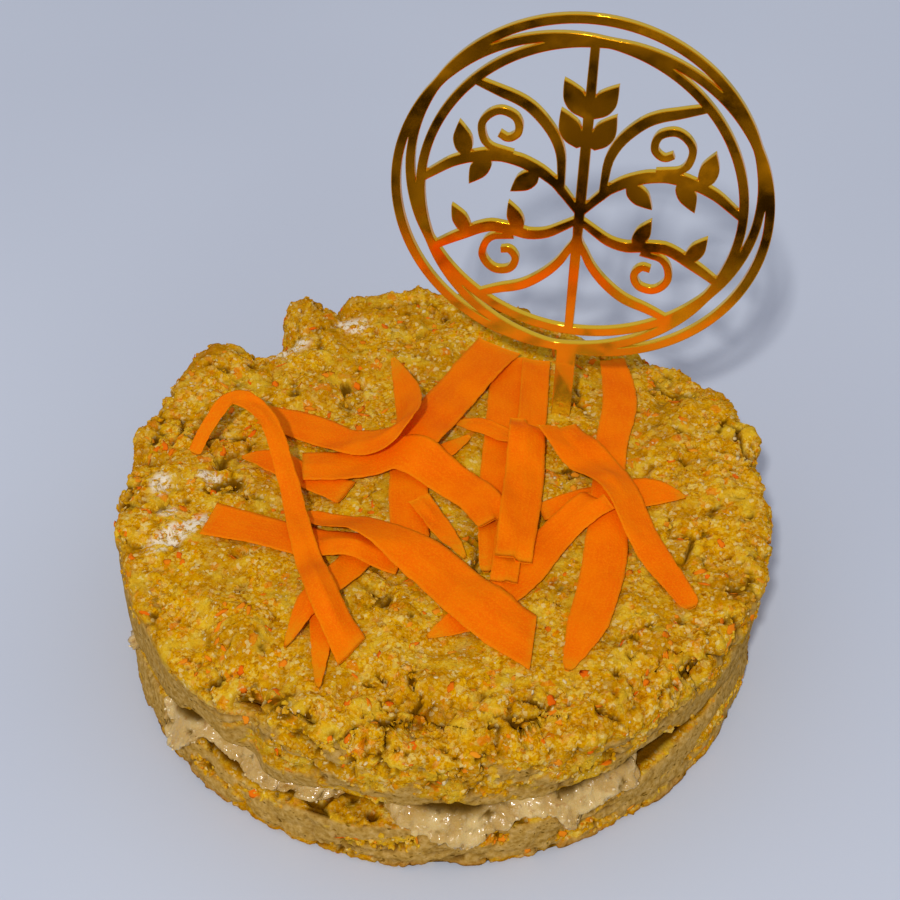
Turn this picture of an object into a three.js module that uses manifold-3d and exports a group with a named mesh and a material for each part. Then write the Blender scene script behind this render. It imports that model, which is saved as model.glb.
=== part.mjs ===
// Two-layer carrot cake: a base layer, a peanut filling that oozes out of the seam, a craggy top layer,
// carrot ribbons laid across it and a gold ring ornament that stands in it on a flat stem.
// Millimetres, +Z up. The origin is the middle of the flat underside and the cake's front faces -Y.
import * as THREE from 'three';
import { mergeVertices } from 'three/addons/utils/BufferGeometryUtils.js';
import Module from 'manifold-3d';

// Cake layers
const TOP_RADIUS = 100;
const TOP_HEIGHT = 57;
const TOP_ROUNDING = 5;
const ROUND_CORNER = 0.3;
const SEAM_HEIGHT = 29.8;
const SEAM_RADIUS = 98.8;
const BASE_RADIUS = 98.6;
const BASE_HEIGHT = 17.6;
const BASE_ROUNDING = 3;
const BASE_FOOT_INSET = 2.2;
const BASE_FOOT_HEIGHT = 1.2;
const BASE_BELLY_INSET = 0.4;
const BASE_BELLY_RISE = 0.45;
const BASE_BROW_INSET = 0.6;
const SEAM_LIP = 1.5;
const SEAM_LIP_HEIGHT = 1.2;
const RIM_START = 0.78;
const RIM_END = 0.94;
const SECTORS = 90;

// Random swellings of the faces: height, distance apart and the draw that they come from
const CRUST_DROP = 0.6;
const CRUST_SWELLS = [[1.2, 34, 1], [0.8, 15, 2], [0.9, 9, 11]];
const RIM_SWELLS = [[1.2, 18, 3]];
const SEAM_SWELLS = [[0.8, 26, 4]];
const BASE_SWELLS = [[0.8, 26, 5]];
const FILLING_SWELLS = [[1.5, 16, 10]];
const SIDE_SWELL = 0.9;
const SIDE_SWELL_SIZE = 14;
const BASE_FOOT_DRAW = 6;
const BASE_BELLY_DRAW = 7;
const BASE_BROW_DRAW = 8;
const SEAM_DRAW = 9;

// Rings of points, as parts of a layer's radius or of the height of its side
const CRUST_RINGS = [0.92, 0.885, 0.84, 0.78, 0.7, 0.61, 0.5, 0.39, 0.27, 0.14];
const SIDE_RINGS = [0.35, 0.7, 1];
const UNDER_RINGS = [0.4, 0.75];
const BASE_CORE = 0.6;

// Lobes and broken places of the top layer's rim: angle, spread (degrees), radius change, height change
const RIM_FEATURES = [
  [164, 5, 2.2, 0],
  [140, 7, 3.2, 1],
  [128, 4.5, -9, -5],
  [118, 4, 3, 1.5],
  [112, 2.6, -5, -3],
  [60, 21, -6.5, -4],
  [188, 24, -1.5, 0],
  [212, 16, 0, -4.5],
  [229, 7, 0, -4],
  [25, 5, 3.5, 1.5],
  [14, 5, 2.5, 0],
  [236, 3.5, -4, -4],
  [247, 7, 1.5, -1.5],
];

// Ledge where the front of the crust has broken off: how far down, how wide its slope is,
// and the line that it follows, as angles (degrees) and radii
const LEDGE_DROP = 3.4;
const LEDGE_SLOPE = 2.4;
const LEDGE_LINE = [
  [256, 102], [266, 88], [272, 92.5], [290, 94], [306, 95], [311, 90], [314, 88], [318, 102],
];

// Pits in the crust, and a block of crumb that stands up from it: x, y, radius, depth
const PITS = [
  [-1, -86, 6, 4],
  [-25, -79, 6, 3],
  [61, 9, 5, 2.5],
  [-41, -84, 14, -3],
];

// Chipped and sagging places of the top layer's lower edge, and high and low places of the base's
// top edge: angle, spread (degrees), height change
const SEAM_FEATURES = [
  [228, 4, 3.5],
  [241, 5, -3.5],
  [309, 7, 2.6],
  [330, 8, -4],
];
const BASE_FEATURES = [
  [211, 8, 3],
  [232, 9, -3],
  [316, 6, 2.5],
  [332, 10, 6],
];

// Places where the filling oozes out or shrinks back: angle, spread (degrees), radius, lowest height
const FILLING_RADIUS = 94;
const FILLING_CORE = 0.8 * FILLING_RADIUS;
const FILLING_REACH = 4;
const FILLING_BULGE = 0.6;
const FILLING_ROUNDING = 1.6;
const FILLING_SHOULDER = 1;
const OOZE_FULLNESS = 1.3;
const OOZES = [
  [196, 3, 100.2, 14],
  [216, 5, 100.8, 7],
  [266, 5, 100, 15],
  [274, 4.5, 101.2, 9.5],
  [283, 5, 100.3, 14.5],
  [292, 4, 101, 9],
  [300, 4.5, 100.8, 12],
];
const HOLLOWS = [
  [256, 5.5, -11],
  [318, 8, -9],
  [150, 12, -4],
  [40, 15, -4],
];

// Gap kept between neighbouring pieces
const GAP = 0.3;

// Carrot ribbons from the lowest to the topmost: points along the middle as
// [x, y, width, lift of the left edge, lift of the right edge]; skew slants the far end's cut
const RIBBON_THICKNESS = 0.7;
const RIBBON_STEP = 7;
const RIBBON_FEWEST_STEPS = 5;
const RIBBON_STEEPEST = 0.55;
const RIBBON_GAP = 0.3;
const RIBBON_NARROWEST = 1.2;
const RIBBON_CUT_START = 0.7;
const PATCH_SAMPLES = 6;
const EASING_PASSES = 2;
const LAYING_PASSES = 3;
const RIBBONS = [
  { path: [[-36, -34, 7], [-34, -61, 6], [-34, -79, 1.5]] },
  { path: [[-44, -64, 1.5], [-37, -48, 8], [-28, -36, 9], [-23, -27, 9]] },
  { path: [[-62, 14, 2], [-53, 13, 10], [-44, 8, 10], [-29, -1, 10]] },
  { path: [[-10, 14, 12], [-10, -5, 12], [-9, -26, 11]] },
  { path: [[-11, 9, 8], [0, 15, 7], [9, 23, 2]] },
  { path: [[-7, -5, 7], [0, -18, 7], [7, -30, 1.5]] },
  { path: [[30, -10, 7], [48, -5, 10], [61, -3, 12], [74, -5, 2]] },
  {
    path: [
      [56, 61, 8], [57, 40, 11], [53, 19, 10], [51, 1, 10], [48, -30, 13], [42, -54, 12], [35, -72, 3],
    ],
  },
  { path: [[22, 62, 11], [19, 25, 11], [15, -6, 8], [13, -35, 4]] },
  { path: [[48, -9, 12], [35, -19, 11], [23, -37, 11], [8, -52, 10], [-4, -60, 1.5]] },
  { path: [[31, 60, 9], [28, 25, 9], [22, -11, 9], [18, -40, 8]] },
  { path: [[3, 30, 1.5], [12, 27, 6], [23, 19, 5]] },
  { path: [[19, 67, 16], [4, 42, 15], [-9, 17, 15]] },
  { path: [[-43, 10, 13], [-28, 11, 14], [-14, 13, 13], [0, 5, 13], [10, -4, 12], [16, -16, 11]] },
  { path: [[-70, -13, 14], [-57, -17, 13], [-42, -22, 13], [-27, -27, 11], [-12, -31, 11]] },
  {
    path: [
      [-57, 34, 9], [-41, 28, 13], [-29, 21, 12, 0, 0], [-18, 17, 11, 0, 2],
      [-11, 24, 8, 0, 7], [-11, 38, 8, 0, 5], [-16, 60, 2, 0, 1],
    ],
  },
  { path: [[27, 26, 11], [25, 0, 12], [21, -32, 11]] },
  { path: [[36, 25, 15], [48, 5, 13], [61, -25, 10], [72, -49, 6]] },
  { path: [[-41, -11, 6], [-24, -19, 12], [-6, -31, 15], [11, -50, 17], [26, -62, 18]], skew: -0.6 },
  {
    path: [
      [-77, 15, 5], [-73, 20, 5, 7, 7], [-65, 27, 6, 14, 14], [-55, 20, 6, 13, 13],
      [-47, 0, 6, 5, 5], [-41, -25, 7], [-34, -48, 9], [-25, -66, 11],
    ],
    skew: -0.5,
  },
];

// Gold ring ornament: three interlaced rings round a tree of scrolls, cut from one sheet
const PLATE = 2;
const FRAME_RADIUS = 51.8;
const FRAME_OFFSET = 4.4;
const FRAME_BAND = 2.8;
const FRAME_TURNS = [85, 205, 325];
const FRAME_SEGMENTS = 72;
const SLOT_STEPS = 10;
const STROKE_STEPS = 10;
const SCROLL_STEPS = 18;
const SCROLL_POINTS = 7;
const SCROLL_CLOSING = 0.72;
const STEM_WIDTH = 6;
const STEM_ROOT = FRAME_RADIUS + FRAME_OFFSET / 2;
const STEM_FOOT = 99.9;
const ORNAMENT_CENTRE = [41.5, 46.1, 134.4];
const ORNAMENT_YAW = -11;
const ORNAMENT_LEAN = 6.2;
const ORNAMENT_ROLL = -1.2;

const { degToRad, radToDeg, lerp, smoothstep } = THREE.MathUtils;
const wasm = await Module();
wasm.setup();

// Smooth random lumps between -1 and 1, about one size apart
function lattice(i, j, seed) {
  const wave = Math.sin(i * 12.9898 + j * 78.233 + seed * 37.719) * 43758.5453;
  return 2 * (wave - Math.floor(wave)) - 1;
}

function lumps(x, y, size, seed) {
  const i = Math.floor(x / size);
  const j = Math.floor(y / size);
  const u = smoothstep(x / size - i, 0, 1);
  const v = smoothstep(y / size - j, 0, 1);
  const near = lerp(lattice(i, j, seed), lattice(i + 1, j, seed), u);
  const far = lerp(lattice(i, j + 1, seed), lattice(i + 1, j + 1, seed), u);
  return lerp(near, far, v);
}

function swells(list, [x, y]) {
  return list.reduce((sum, [height, size, seed]) => sum + height * lumps(x, y, size, seed), 0);
}

// Share of a feature at an angle, 1 at its middle and fading out over its spread
function share(angle, middle, spread) {
  const turn = ((angle - middle + 540) % 360) - 180;
  return Math.exp(-((turn / spread) ** 2));
}

// Closed body from rings given from the underside's middle to the top's middle;
// a ring is a function that gives radius and height at an angle
function ringBody(rings, lowMiddle, highMiddle) {
  const points = [0, 0, lowMiddle];
  const faces = [];
  const at = (ring, sector) => 1 + ring * SECTORS + (sector % SECTORS);
  for (const ring of rings) {
    for (let sector = 0; sector < SECTORS; sector += 1) {
      const angle = (360 * sector) / SECTORS;
      const [radius, height] = ring(angle);
      points.push(radius * Math.cos(degToRad(angle)), radius * Math.sin(degToRad(angle)), height);
    }
  }
  const last = points.length / 3;
  points.push(0, 0, highMiddle);
  for (let sector = 0; sector < SECTORS; sector += 1) {
    faces.push(0, at(0, sector + 1), at(0, sector));
    for (let ring = 1; ring < rings.length; ring += 1) {
      faces.push(at(ring - 1, sector), at(ring - 1, sector + 1), at(ring, sector + 1));
      faces.push(at(ring - 1, sector), at(ring, sector + 1), at(ring, sector));
    }
    faces.push(at(rings.length - 1, sector), at(rings.length - 1, sector + 1), last);
  }
  const geometry = new THREE.BufferGeometry();
  geometry.setAttribute('position', new THREE.Float32BufferAttribute(points, 3));
  geometry.setIndex(faces);
  return geometry;
}

// Joins and cuts
function toSolid(source) {
  const bare = source.clone();
  bare.deleteAttribute('normal');
  bare.deleteAttribute('uv');
  const merged = mergeVertices(bare, 1e-4);
  return new wasm.Manifold(new wasm.Mesh({
    numProp: 3,
    vertProperties: new Float32Array(merged.attributes.position.array),
    triVerts: new Uint32Array(merged.index.array),
  }));
}

function toGeometry(solid) {
  const mesh = solid.getMesh();
  const geometry = new THREE.BufferGeometry();
  geometry.setAttribute('position', new THREE.BufferAttribute(mesh.vertProperties, 3));
  geometry.setIndex(new THREE.BufferAttribute(mesh.triVerts, 1));
  geometry.computeVertexNormals();
  return geometry;
}

// Heights of the layers' faces
function polar(radius, angle) {
  return [radius * Math.cos(degToRad(angle)), radius * Math.sin(degToRad(angle))];
}

function rimRadius(angle) {
  let radius = TOP_RADIUS + swells(RIM_SWELLS, polar(TOP_RADIUS, angle));
  for (const [middle, spread, out] of RIM_FEATURES) radius += out * share(angle, middle, spread);
  return radius;
}

// How far outside the ledge's line a place is, negative inside it
function pastLedge(radius, angle) {
  const next = LEDGE_LINE.findIndex(([turn]) => turn >= angle);
  if (next < 1) return -TOP_RADIUS;
  const [from, near] = LEDGE_LINE[next - 1];
  const [to, far] = LEDGE_LINE[next];
  return radius - lerp(near, far, (angle - from) / (to - from));
}

// How much of a rim's feature reaches in to a radius
function nearRim(radius) {
  return smoothstep(radius, RIM_START * TOP_RADIUS, RIM_END * TOP_RADIUS);
}

function topHeight(radius, angle) {
  const [x, y] = polar(radius, angle);
  let height = TOP_HEIGHT - CRUST_DROP + swells(CRUST_SWELLS, [x, y]);
  for (const [middle, spread, , up] of RIM_FEATURES) {
    height += nearRim(radius) * up * share(angle, middle, spread);
  }
  height -= LEDGE_DROP * smoothstep(pastLedge(radius, angle), -LEDGE_SLOPE / 2, LEDGE_SLOPE / 2);
  for (const [u, v, size, depth] of PITS) {
    height -= depth * (1 - smoothstep(Math.hypot(x - u, y - v), 0, size));
  }
  return height;
}

function edgeHeight(features, radius, angle) {
  const change = features.reduce((sum, [middle, spread, up]) => sum + up * share(angle, middle, spread), 0);
  return nearRim(radius) * change;
}

function seamHeight(radius, angle) {
  return SEAM_HEIGHT + swells(SEAM_SWELLS, polar(radius, angle)) + edgeHeight(SEAM_FEATURES, radius, angle);
}

function baseTop(radius, angle) {
  return BASE_HEIGHT + swells(BASE_SWELLS, polar(radius, angle)) + edgeHeight(BASE_FEATURES, radius, angle);
}

function sideWaver(angle, seed) {
  return swells([[SIDE_SWELL, SIDE_SWELL_SIZE, seed]], polar(TOP_RADIUS, angle));
}

// Base layer: flat underside, slightly crumbled foot and an uneven top; grow widens it for cutting
function baseLayer(grow) {
  const wall = (angle, seed) => BASE_RADIUS + grow + sideWaver(angle, seed);
  const edge = (angle) => baseTop(BASE_RADIUS, angle);
  const rings = [
    (angle) => [BASE_CORE * BASE_RADIUS, -grow],
    (angle) => [wall(angle, BASE_FOOT_DRAW) - BASE_FOOT_INSET, -grow],
    (angle) => [wall(angle, BASE_FOOT_DRAW), BASE_FOOT_HEIGHT],
    (angle) => [wall(angle, BASE_BELLY_DRAW) - BASE_BELLY_INSET, BASE_BELLY_RISE * edge(angle)],
    (angle) => [wall(angle, BASE_BROW_DRAW) - BASE_BROW_INSET, edge(angle) - BASE_ROUNDING],
    (angle) => [wall(angle, BASE_BROW_DRAW) - BASE_ROUNDING, edge(angle) + grow],
    ...UNDER_RINGS.toReversed().map((part) => (angle) => [
      part * BASE_RADIUS,
      baseTop(part * BASE_RADIUS, angle) + grow,
    ]),
  ];
  return ringBody(rings, -grow, baseTop(0, 0) + grow);
}

// Top layer: nearly upright side, rounded rim with lobes and breaks, and a lumpy top
function topLayer(grow) {
  const seamEdge = (angle) => (
    Math.min(rimRadius(angle), SEAM_RADIUS + sideWaver(angle, SEAM_DRAW)) + grow
  );
  const wall = (angle, low) => lerp(seamEdge(angle), rimRadius(angle) + grow, low);
  const brow = (angle) => topHeight(rimRadius(angle), angle);
  const side = (angle, rise) => lerp(seamHeight(SEAM_RADIUS, angle), brow(angle) - TOP_ROUNDING, rise);
  const rings = [
    ...UNDER_RINGS.map((part) => (angle) => [
      part * SEAM_RADIUS,
      seamHeight(part * SEAM_RADIUS, angle) - grow,
    ]),
    (angle) => [seamEdge(angle) - SEAM_LIP, seamHeight(SEAM_RADIUS, angle) - grow],
    (angle) => [seamEdge(angle), seamHeight(SEAM_RADIUS, angle) + SEAM_LIP_HEIGHT],
    ...SIDE_RINGS.map((rise) => (angle) => [wall(angle, rise), side(angle, rise)]),
    (angle) => [wall(angle, 1) - ROUND_CORNER * TOP_ROUNDING, brow(angle) - ROUND_CORNER * TOP_ROUNDING],
    (angle) => [wall(angle, 1) - TOP_ROUNDING, brow(angle)],
    ...CRUST_RINGS.map((part) => (angle) => [
      part * rimRadius(angle),
      topHeight(part * rimRadius(angle), angle),
    ]),
  ];
  return ringBody(rings, seamHeight(0, 0) - grow, topHeight(0, 0));
}

// Peanut filling: a rough disc that reaches into both layers, with their room then cut away
function fillingOutline(angle) {
  let edge = FILLING_RADIUS + swells(FILLING_SWELLS, polar(TOP_RADIUS, angle));
  for (const [middle, spread, change] of HOLLOWS) edge += change * share(angle, middle, spread);
  let low = baseTop(BASE_RADIUS, angle);
  for (const [middle, spread, radius, lowest] of OOZES) {
    const part = share(angle, middle, spread);
    edge = Math.max(edge, lerp(edge, radius, Math.min(1, OOZE_FULLNESS * part)));
    low = Math.min(low, lerp(low, lowest, part));
  }
  return { edge, low };
}

function fillingLayer() {
  const roof = (angle) => seamHeight(SEAM_RADIUS, angle);
  const belly = (angle) => lerp(fillingOutline(angle).low, roof(angle), FILLING_BULGE);
  const rings = [
    (angle) => [FILLING_CORE, FILLING_REACH],
    (angle) => [fillingOutline(angle).edge - FILLING_ROUNDING, fillingOutline(angle).low],
    (angle) => [fillingOutline(angle).edge - GAP, fillingOutline(angle).low + FILLING_ROUNDING],
    (angle) => [fillingOutline(angle).edge, belly(angle)],
    (angle) => [fillingOutline(angle).edge - FILLING_SHOULDER, roof(angle) - FILLING_SHOULDER],
    (angle) => [fillingOutline(angle).edge - FILLING_REACH, roof(angle) + GAP],
    (angle) => [FILLING_CORE, SEAM_HEIGHT + FILLING_REACH],
  ];
  const rough = toSolid(ringBody(rings, FILLING_REACH, SEAM_HEIGHT + FILLING_REACH));
  return toGeometry(rough.subtract(toSolid(baseLayer(GAP))).subtract(toSolid(topLayer(GAP))));
}

// Height of whatever has been laid so far, on a grid of 1 mm squares
const GRID_HALF = 110;
const GRID_SIDE = 2 * GRID_HALF + 1;
const laid = new Float32Array(GRID_SIDE * GRID_SIDE).fill(SEAM_HEIGHT);

function laidHeight(x, y) {
  let height = SEAM_HEIGHT;
  for (let j = Math.round(y) - 1; j <= Math.round(y) + 1; j += 1) {
    for (let i = Math.round(x) - 1; i <= Math.round(x) + 1; i += 1) {
      height = Math.max(height, laid[(j + GRID_HALF) * GRID_SIDE + i + GRID_HALF]);
    }
  }
  return height;
}

function layDown(geometry) {
  const place = geometry.attributes.position;
  const faces = geometry.index.array;
  const corner = [new THREE.Vector3(), new THREE.Vector3(), new THREE.Vector3()];
  const weight = new THREE.Vector3();
  for (let face = 0; face < faces.length; face += 3) {
    corner.forEach((point, n) => point.fromBufferAttribute(place, faces[face + n]));
    const [a, b, c] = corner;
    const heights = [a.z, b.z, c.z];
    corner.forEach((point) => point.setZ(0));
    for (let j = Math.ceil(Math.min(a.y, b.y, c.y)); j <= Math.max(a.y, b.y, c.y); j += 1) {
      for (let i = Math.ceil(Math.min(a.x, b.x, c.x)); i <= Math.max(a.x, b.x, c.x); i += 1) {
        const inside = THREE.Triangle.getBarycoord(new THREE.Vector3(i, j, 0), a, b, c, weight);
        if (inside === null || Math.min(weight.x, weight.y, weight.z) < -1e-6) continue;
        const cell = (j + GRID_HALF) * GRID_SIDE + i + GRID_HALF;
        const height = weight.x * heights[0] + weight.y * heights[1] + weight.z * heights[2];
        laid[cell] = Math.max(laid[cell], height);
      }
    }
  }
}

// Rows of three points across a ribbon, at rest on what lies below
function ribbonRows({ path, skew = 0 }) {
  const middle = new THREE.CatmullRomCurve3(path.map(([x, y]) => new THREE.Vector3(x, y, 0)));
  const form = new THREE.CatmullRomCurve3(
    path.map(([, , width, left = 0, right = left]) => new THREE.Vector3(width, left, right)),
  );
  const steps = Math.max(RIBBON_FEWEST_STEPS, Math.round(middle.getLength() / RIBBON_STEP));
  const rows = [];
  for (let step = 0; step <= steps; step += 1) {
    const part = step / steps;
    const point = middle.getPoint(part);
    const along = middle.getTangent(part);
    const { x: width, y: left, z: right } = form.getPoint(part);
    const half = Math.max(width, RIBBON_NARROWEST) / 2;
    const slant = skew * half * smoothstep(part, RIBBON_CUT_START, 1);
    rows.push([1, 0, -1].map((side) => ({
      x: point.x - side * half * along.y + side * slant * along.x,
      y: point.y + side * half * along.x + side * slant * along.y,
      z: 0,
      lift: lerp(right, left, (side + 1) / 2),
    })));
  }
  return rows;
}

function distance(a, b) {
  return Math.hypot(a.x - b.x, a.y - b.y);
}

// Raises points so that the ribbon is nowhere steeper than it can bend
function easeSlopes(rows) {
  const pull = (point, next) => {
    point.z = Math.max(point.z, next.z - RIBBON_STEEPEST * distance(point, next));
  };
  for (let pass = 0; pass < EASING_PASSES; pass += 1) {
    for (let row = 1; row < rows.length; row += 1) {
      rows[row].forEach((point, k) => pull(point, rows[row - 1][k]));
    }
    for (let row = rows.length - 2; row >= 0; row -= 1) {
      rows[row].forEach((point, k) => pull(point, rows[row + 1][k]));
    }
    for (const [left, centre, right] of rows) {
      pull(centre, left);
      pull(centre, right);
      pull(left, centre);
      pull(right, centre);
    }
  }
}

// Raises the corners of each patch until the whole patch clears what lies below it
function clearPatches(rows) {
  for (let row = 1; row < rows.length; row += 1) {
    for (let k = 1; k < 3; k += 1) {
      const corners = [rows[row - 1][k - 1], rows[row - 1][k], rows[row][k - 1], rows[row][k]];
      let short = 0;
      for (let n = 0; n <= PATCH_SAMPLES; n += 1) {
        for (let m = 0; m <= PATCH_SAMPLES; m += 1) {
          const weights = [
            (1 - n / PATCH_SAMPLES) * (1 - m / PATCH_SAMPLES),
            (1 - n / PATCH_SAMPLES) * (m / PATCH_SAMPLES),
            (n / PATCH_SAMPLES) * (1 - m / PATCH_SAMPLES),
            (n / PATCH_SAMPLES) * (m / PATCH_SAMPLES),
          ];
          const sum = (axis) => corners.reduce((total, p, q) => total + weights[q] * p[axis], 0);
          short = Math.max(short, laidHeight(sum('x'), sum('y')) + RIBBON_GAP - sum('z'));
        }
      }
      corners.forEach((point) => { point.z += short; });
    }
  }
}

// Thin closed strip, its upper and lower faces split alike
function ribbonGeometry(rows) {
  const points = [];
  const faces = [];
  for (const rise of [0, RIBBON_THICKNESS]) {
    for (const row of rows) row.forEach((p) => points.push(p.x, p.y, p.z + p.lift + rise));
  }
  const upper = 3 * rows.length;
  const quad = (a, b, c, d) => faces.push(a, b, c, a, c, d);
  for (let row = 1; row < rows.length; row += 1) {
    const near = 3 * (row - 1);
    const far = 3 * row;
    for (let k = 0; k < 2; k += 1) {
      faces.push(near + k, far + k, near + k + 1, far + k, far + k + 1, near + k + 1);
      faces.push(upper + near + k, upper + near + k + 1, upper + far + k);
      faces.push(upper + far + k, upper + near + k + 1, upper + far + k + 1);
    }
    quad(near, upper + near, upper + far, far);
    quad(near + 2, far + 2, upper + far + 2, upper + near + 2);
  }
  const end = 3 * (rows.length - 1);
  for (let k = 0; k < 2; k += 1) {
    quad(k, k + 1, upper + k + 1, upper + k);
    quad(end + k, upper + end + k, upper + end + k + 1, end + k + 1);
  }
  const geometry = new THREE.BufferGeometry();
  geometry.setAttribute('position', new THREE.Float32BufferAttribute(points, 3));
  geometry.setIndex(faces);
  return geometry;
}

function layRibbon(ribbon) {
  const rows = ribbonRows(ribbon);
  rows.flat().forEach((point) => { point.z = laidHeight(point.x, point.y) + RIBBON_GAP; });
  for (let pass = 0; pass < LAYING_PASSES; pass += 1) {
    easeSlopes(rows);
    clearPatches(rows);
  }
  const geometry = ribbonGeometry(rows);
  layDown(geometry);
  return geometry;
}

// Flat outlines of the ornament, in the plane of its sheet
function strokeShape(points, thin, thick, steps = STROKE_STEPS) {
  const line = new THREE.CatmullRomCurve3(points.map(([u, v]) => new THREE.Vector3(u, v, 0)));
  const left = [];
  const right = [];
  for (let step = 0; step <= steps; step += 1) {
    const part = step / steps;
    const point = line.getPoint(part);
    const along = line.getTangent(part);
    const half = lerp(thin, thick, Math.sin(Math.PI * part)) / 2;
    left.push(new THREE.Vector2(point.x - half * along.y, point.y + half * along.x));
    right.unshift(new THREE.Vector2(point.x + half * along.y, point.y - half * along.x));
  }
  return new THREE.Shape([...left, ...right]);
}

function scrollPoints(u, v, radius, start, turn) {
  const points = [];
  for (let step = 0; step <= SCROLL_POINTS; step += 1) {
    const part = step / SCROLL_POINTS;
    const angle = degToRad(start + turn * part);
    const reach = radius * (1 - SCROLL_CLOSING * part);
    points.push([u + reach * Math.cos(angle), v + reach * Math.sin(angle)]);
  }
  return points;
}

function leafShape(u, v, length, width, direction) {
  const along = new THREE.Vector2(1, 0).rotateAround(new THREE.Vector2(), degToRad(direction));
  const across = new THREE.Vector2(-along.y, along.x);
  const at = (part, side) => new THREE.Vector2(u, v)
    .addScaledVector(along, part * length)
    .addScaledVector(across, side * width);
  return new THREE.Shape([
    at(0, -0.1), at(0.25, -0.42), at(0.55, -0.46), at(0.82, -0.22), at(1, 0),
    at(0.82, 0.22), at(0.55, 0.46), at(0.25, 0.42), at(0, 0.1),
  ]);
}

// The three rings' middle lines at an angle, from the innermost to the outermost
function ringLines(angle) {
  return FRAME_TURNS
    .map((turn) => FRAME_RADIUS + FRAME_OFFSET * Math.cos(degToRad(angle - turn)))
    .sort((near, far) => near - far);
}

// Crescent left open between one ring line and the next, round the angle where they are furthest apart
function slotPath(line, turn) {
  const half = radToDeg(Math.acos(FRAME_BAND / (Math.sqrt(3) * FRAME_OFFSET))) - 30;
  const inner = [];
  const outer = [];
  for (let step = 0; step <= SLOT_STEPS; step += 1) {
    const angle = turn + half * ((2 * step) / SLOT_STEPS - 1);
    const lines = ringLines(angle);
    inner.push(new THREE.Vector2(...polar(lines[line] + FRAME_BAND / 2, angle)));
    outer.unshift(new THREE.Vector2(...polar(lines[line + 1] - FRAME_BAND / 2, angle)));
  }
  return new THREE.Path([...inner, ...outer.slice(1, -1)]);
}

function frameShape() {
  const outline = (line, out) => Array.from({ length: FRAME_SEGMENTS }, (_, n) => {
    const angle = (360 * n) / FRAME_SEGMENTS;
    return new THREE.Vector2(...polar(ringLines(angle)[line] + out, angle));
  });
  const shape = new THREE.Shape(outline(2, FRAME_BAND / 2));
  shape.holes.push(new THREE.Path(outline(0, -FRAME_BAND / 2)));
  for (const turn of FRAME_TURNS) shape.holes.push(slotPath(1, turn), slotPath(0, turn + 60));
  return shape;
}

// Right half of the tree: branches, scrolls and leaves, mirrored for the left half
function branchShapes(side) {
  const flip = (points) => points.map(([u, v]) => [side * u, v]);
  const leaf = (u, v, length, width, direction) => (
    leafShape(side * u, v, length, width, side > 0 ? direction : 180 - direction)
  );
  return [
    strokeShape(flip([[0, -6], [10, 5], [24, 10], [37, 7], [48.2, -1]]), 2.2, 3.8),
    strokeShape(flip([[6, 0], [8, 16], [17, 27], [27, 31], [34.4, 33.5]]), 2, 3.4),
    strokeShape(flip([[0, -8], [12, -15], [26, -14], [36, -19], [43.9, -24]]), 2.2, 3.6),
    strokeShape(flip([[0, -14], [6, -25], [15, -33], [23, -36], [29.4, -38.6]]), 2, 3),
    strokeShape(flip(scrollPoints(24, 19, 8.5, 250, 420)), 2, 2.4, SCROLL_STEPS),
    strokeShape(flip(scrollPoints(22, -24, 8, 110, -400)), 2, 2.4, SCROLL_STEPS),
    leaf(2, 16, 13, 7, 62),
    leaf(1, 26, 13, 7, 58),
    leaf(35, 8, 12, 6, 78),
    leaf(13, 6, 11, 6, -42),
    leaf(28, 10, 12, 6, -62),
    leaf(33, -18, 11, 5, 60),
    leaf(17, -15, 11, 5, 66),
  ];
}

function plateSolid(shape) {
  return toSolid(new THREE.ExtrudeGeometry(shape, { depth: PLATE, bevelEnabled: false }));
}

function stemShape(grow) {
  const half = STEM_WIDTH / 2 + grow;
  return new THREE.Shape([
    new THREE.Vector2(-half, -STEM_ROOT),
    new THREE.Vector2(-half, -STEM_FOOT - grow),
    new THREE.Vector2(half, -STEM_FOOT - grow),
    new THREE.Vector2(half, -STEM_ROOT),
  ]);
}

function ornamentGeometry() {
  const shapes = [
    frameShape(),
    strokeShape([[0, -48.2], [0, -20], [0, 20], [0, 49.8]], 2.6, 3.2, 4),
    ...branchShapes(1),
    ...branchShapes(-1),
    stemShape(0),
  ];
  return toGeometry(shapes.map(plateSolid).reduce((whole, piece) => whole.add(piece)));
}

// Assembly
function finish(color, roughness, metalness = 0) {
  return new THREE.MeshStandardMaterial({ color, roughness, metalness });
}

function named(name, geometry, material) {
  const mesh = new THREE.Mesh(geometry, material);
  mesh.name = name;
  return mesh;
}

const crumb = finish(0xbf8a1a, 0.95);
const carrot = finish(0xe46e02, 0.5);
const cake = new THREE.Group();

const ornament = named('ring_ornament', ornamentGeometry(), finish(0xa87414, 0.15, 1));
ornament.rotation.z = degToRad(ORNAMENT_ROLL);
const stand = new THREE.Group();
stand.position.set(...ORNAMENT_CENTRE);
stand.rotation.set(Math.PI / 2 - degToRad(ORNAMENT_LEAN), 0, degToRad(ORNAMENT_YAW), 'ZXY');
stand.add(ornament);
cake.add(stand);
cake.updateMatrixWorld(true);

const stemRoom = new THREE.ExtrudeGeometry(stemShape(GAP), { depth: PLATE + 2 * GAP, bevelEnabled: false })
  .translate(0, 0, -GAP)
  .applyMatrix4(ornament.matrixWorld);
const topGeometry = topLayer(0);
layDown(topGeometry);
cake.add(named('base_layer', baseLayer(0), crumb));
cake.add(named('peanut_filling', fillingLayer(), finish(0xb79557, 0.35)));
cake.add(named('top_layer', toGeometry(toSolid(topGeometry).subtract(toSolid(stemRoom))), crumb));
RIBBONS.forEach((ribbon, n) => {
  cake.add(named(`carrot_ribbon_${String(n + 1).padStart(2, '0')}`, layRibbon(ribbon), carrot));
});

export default cake;
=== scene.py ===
import math

import bmesh
import bpy
import numpy as np
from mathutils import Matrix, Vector, geometry, noise
from mathutils.bvhtree import BVHTree


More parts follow.
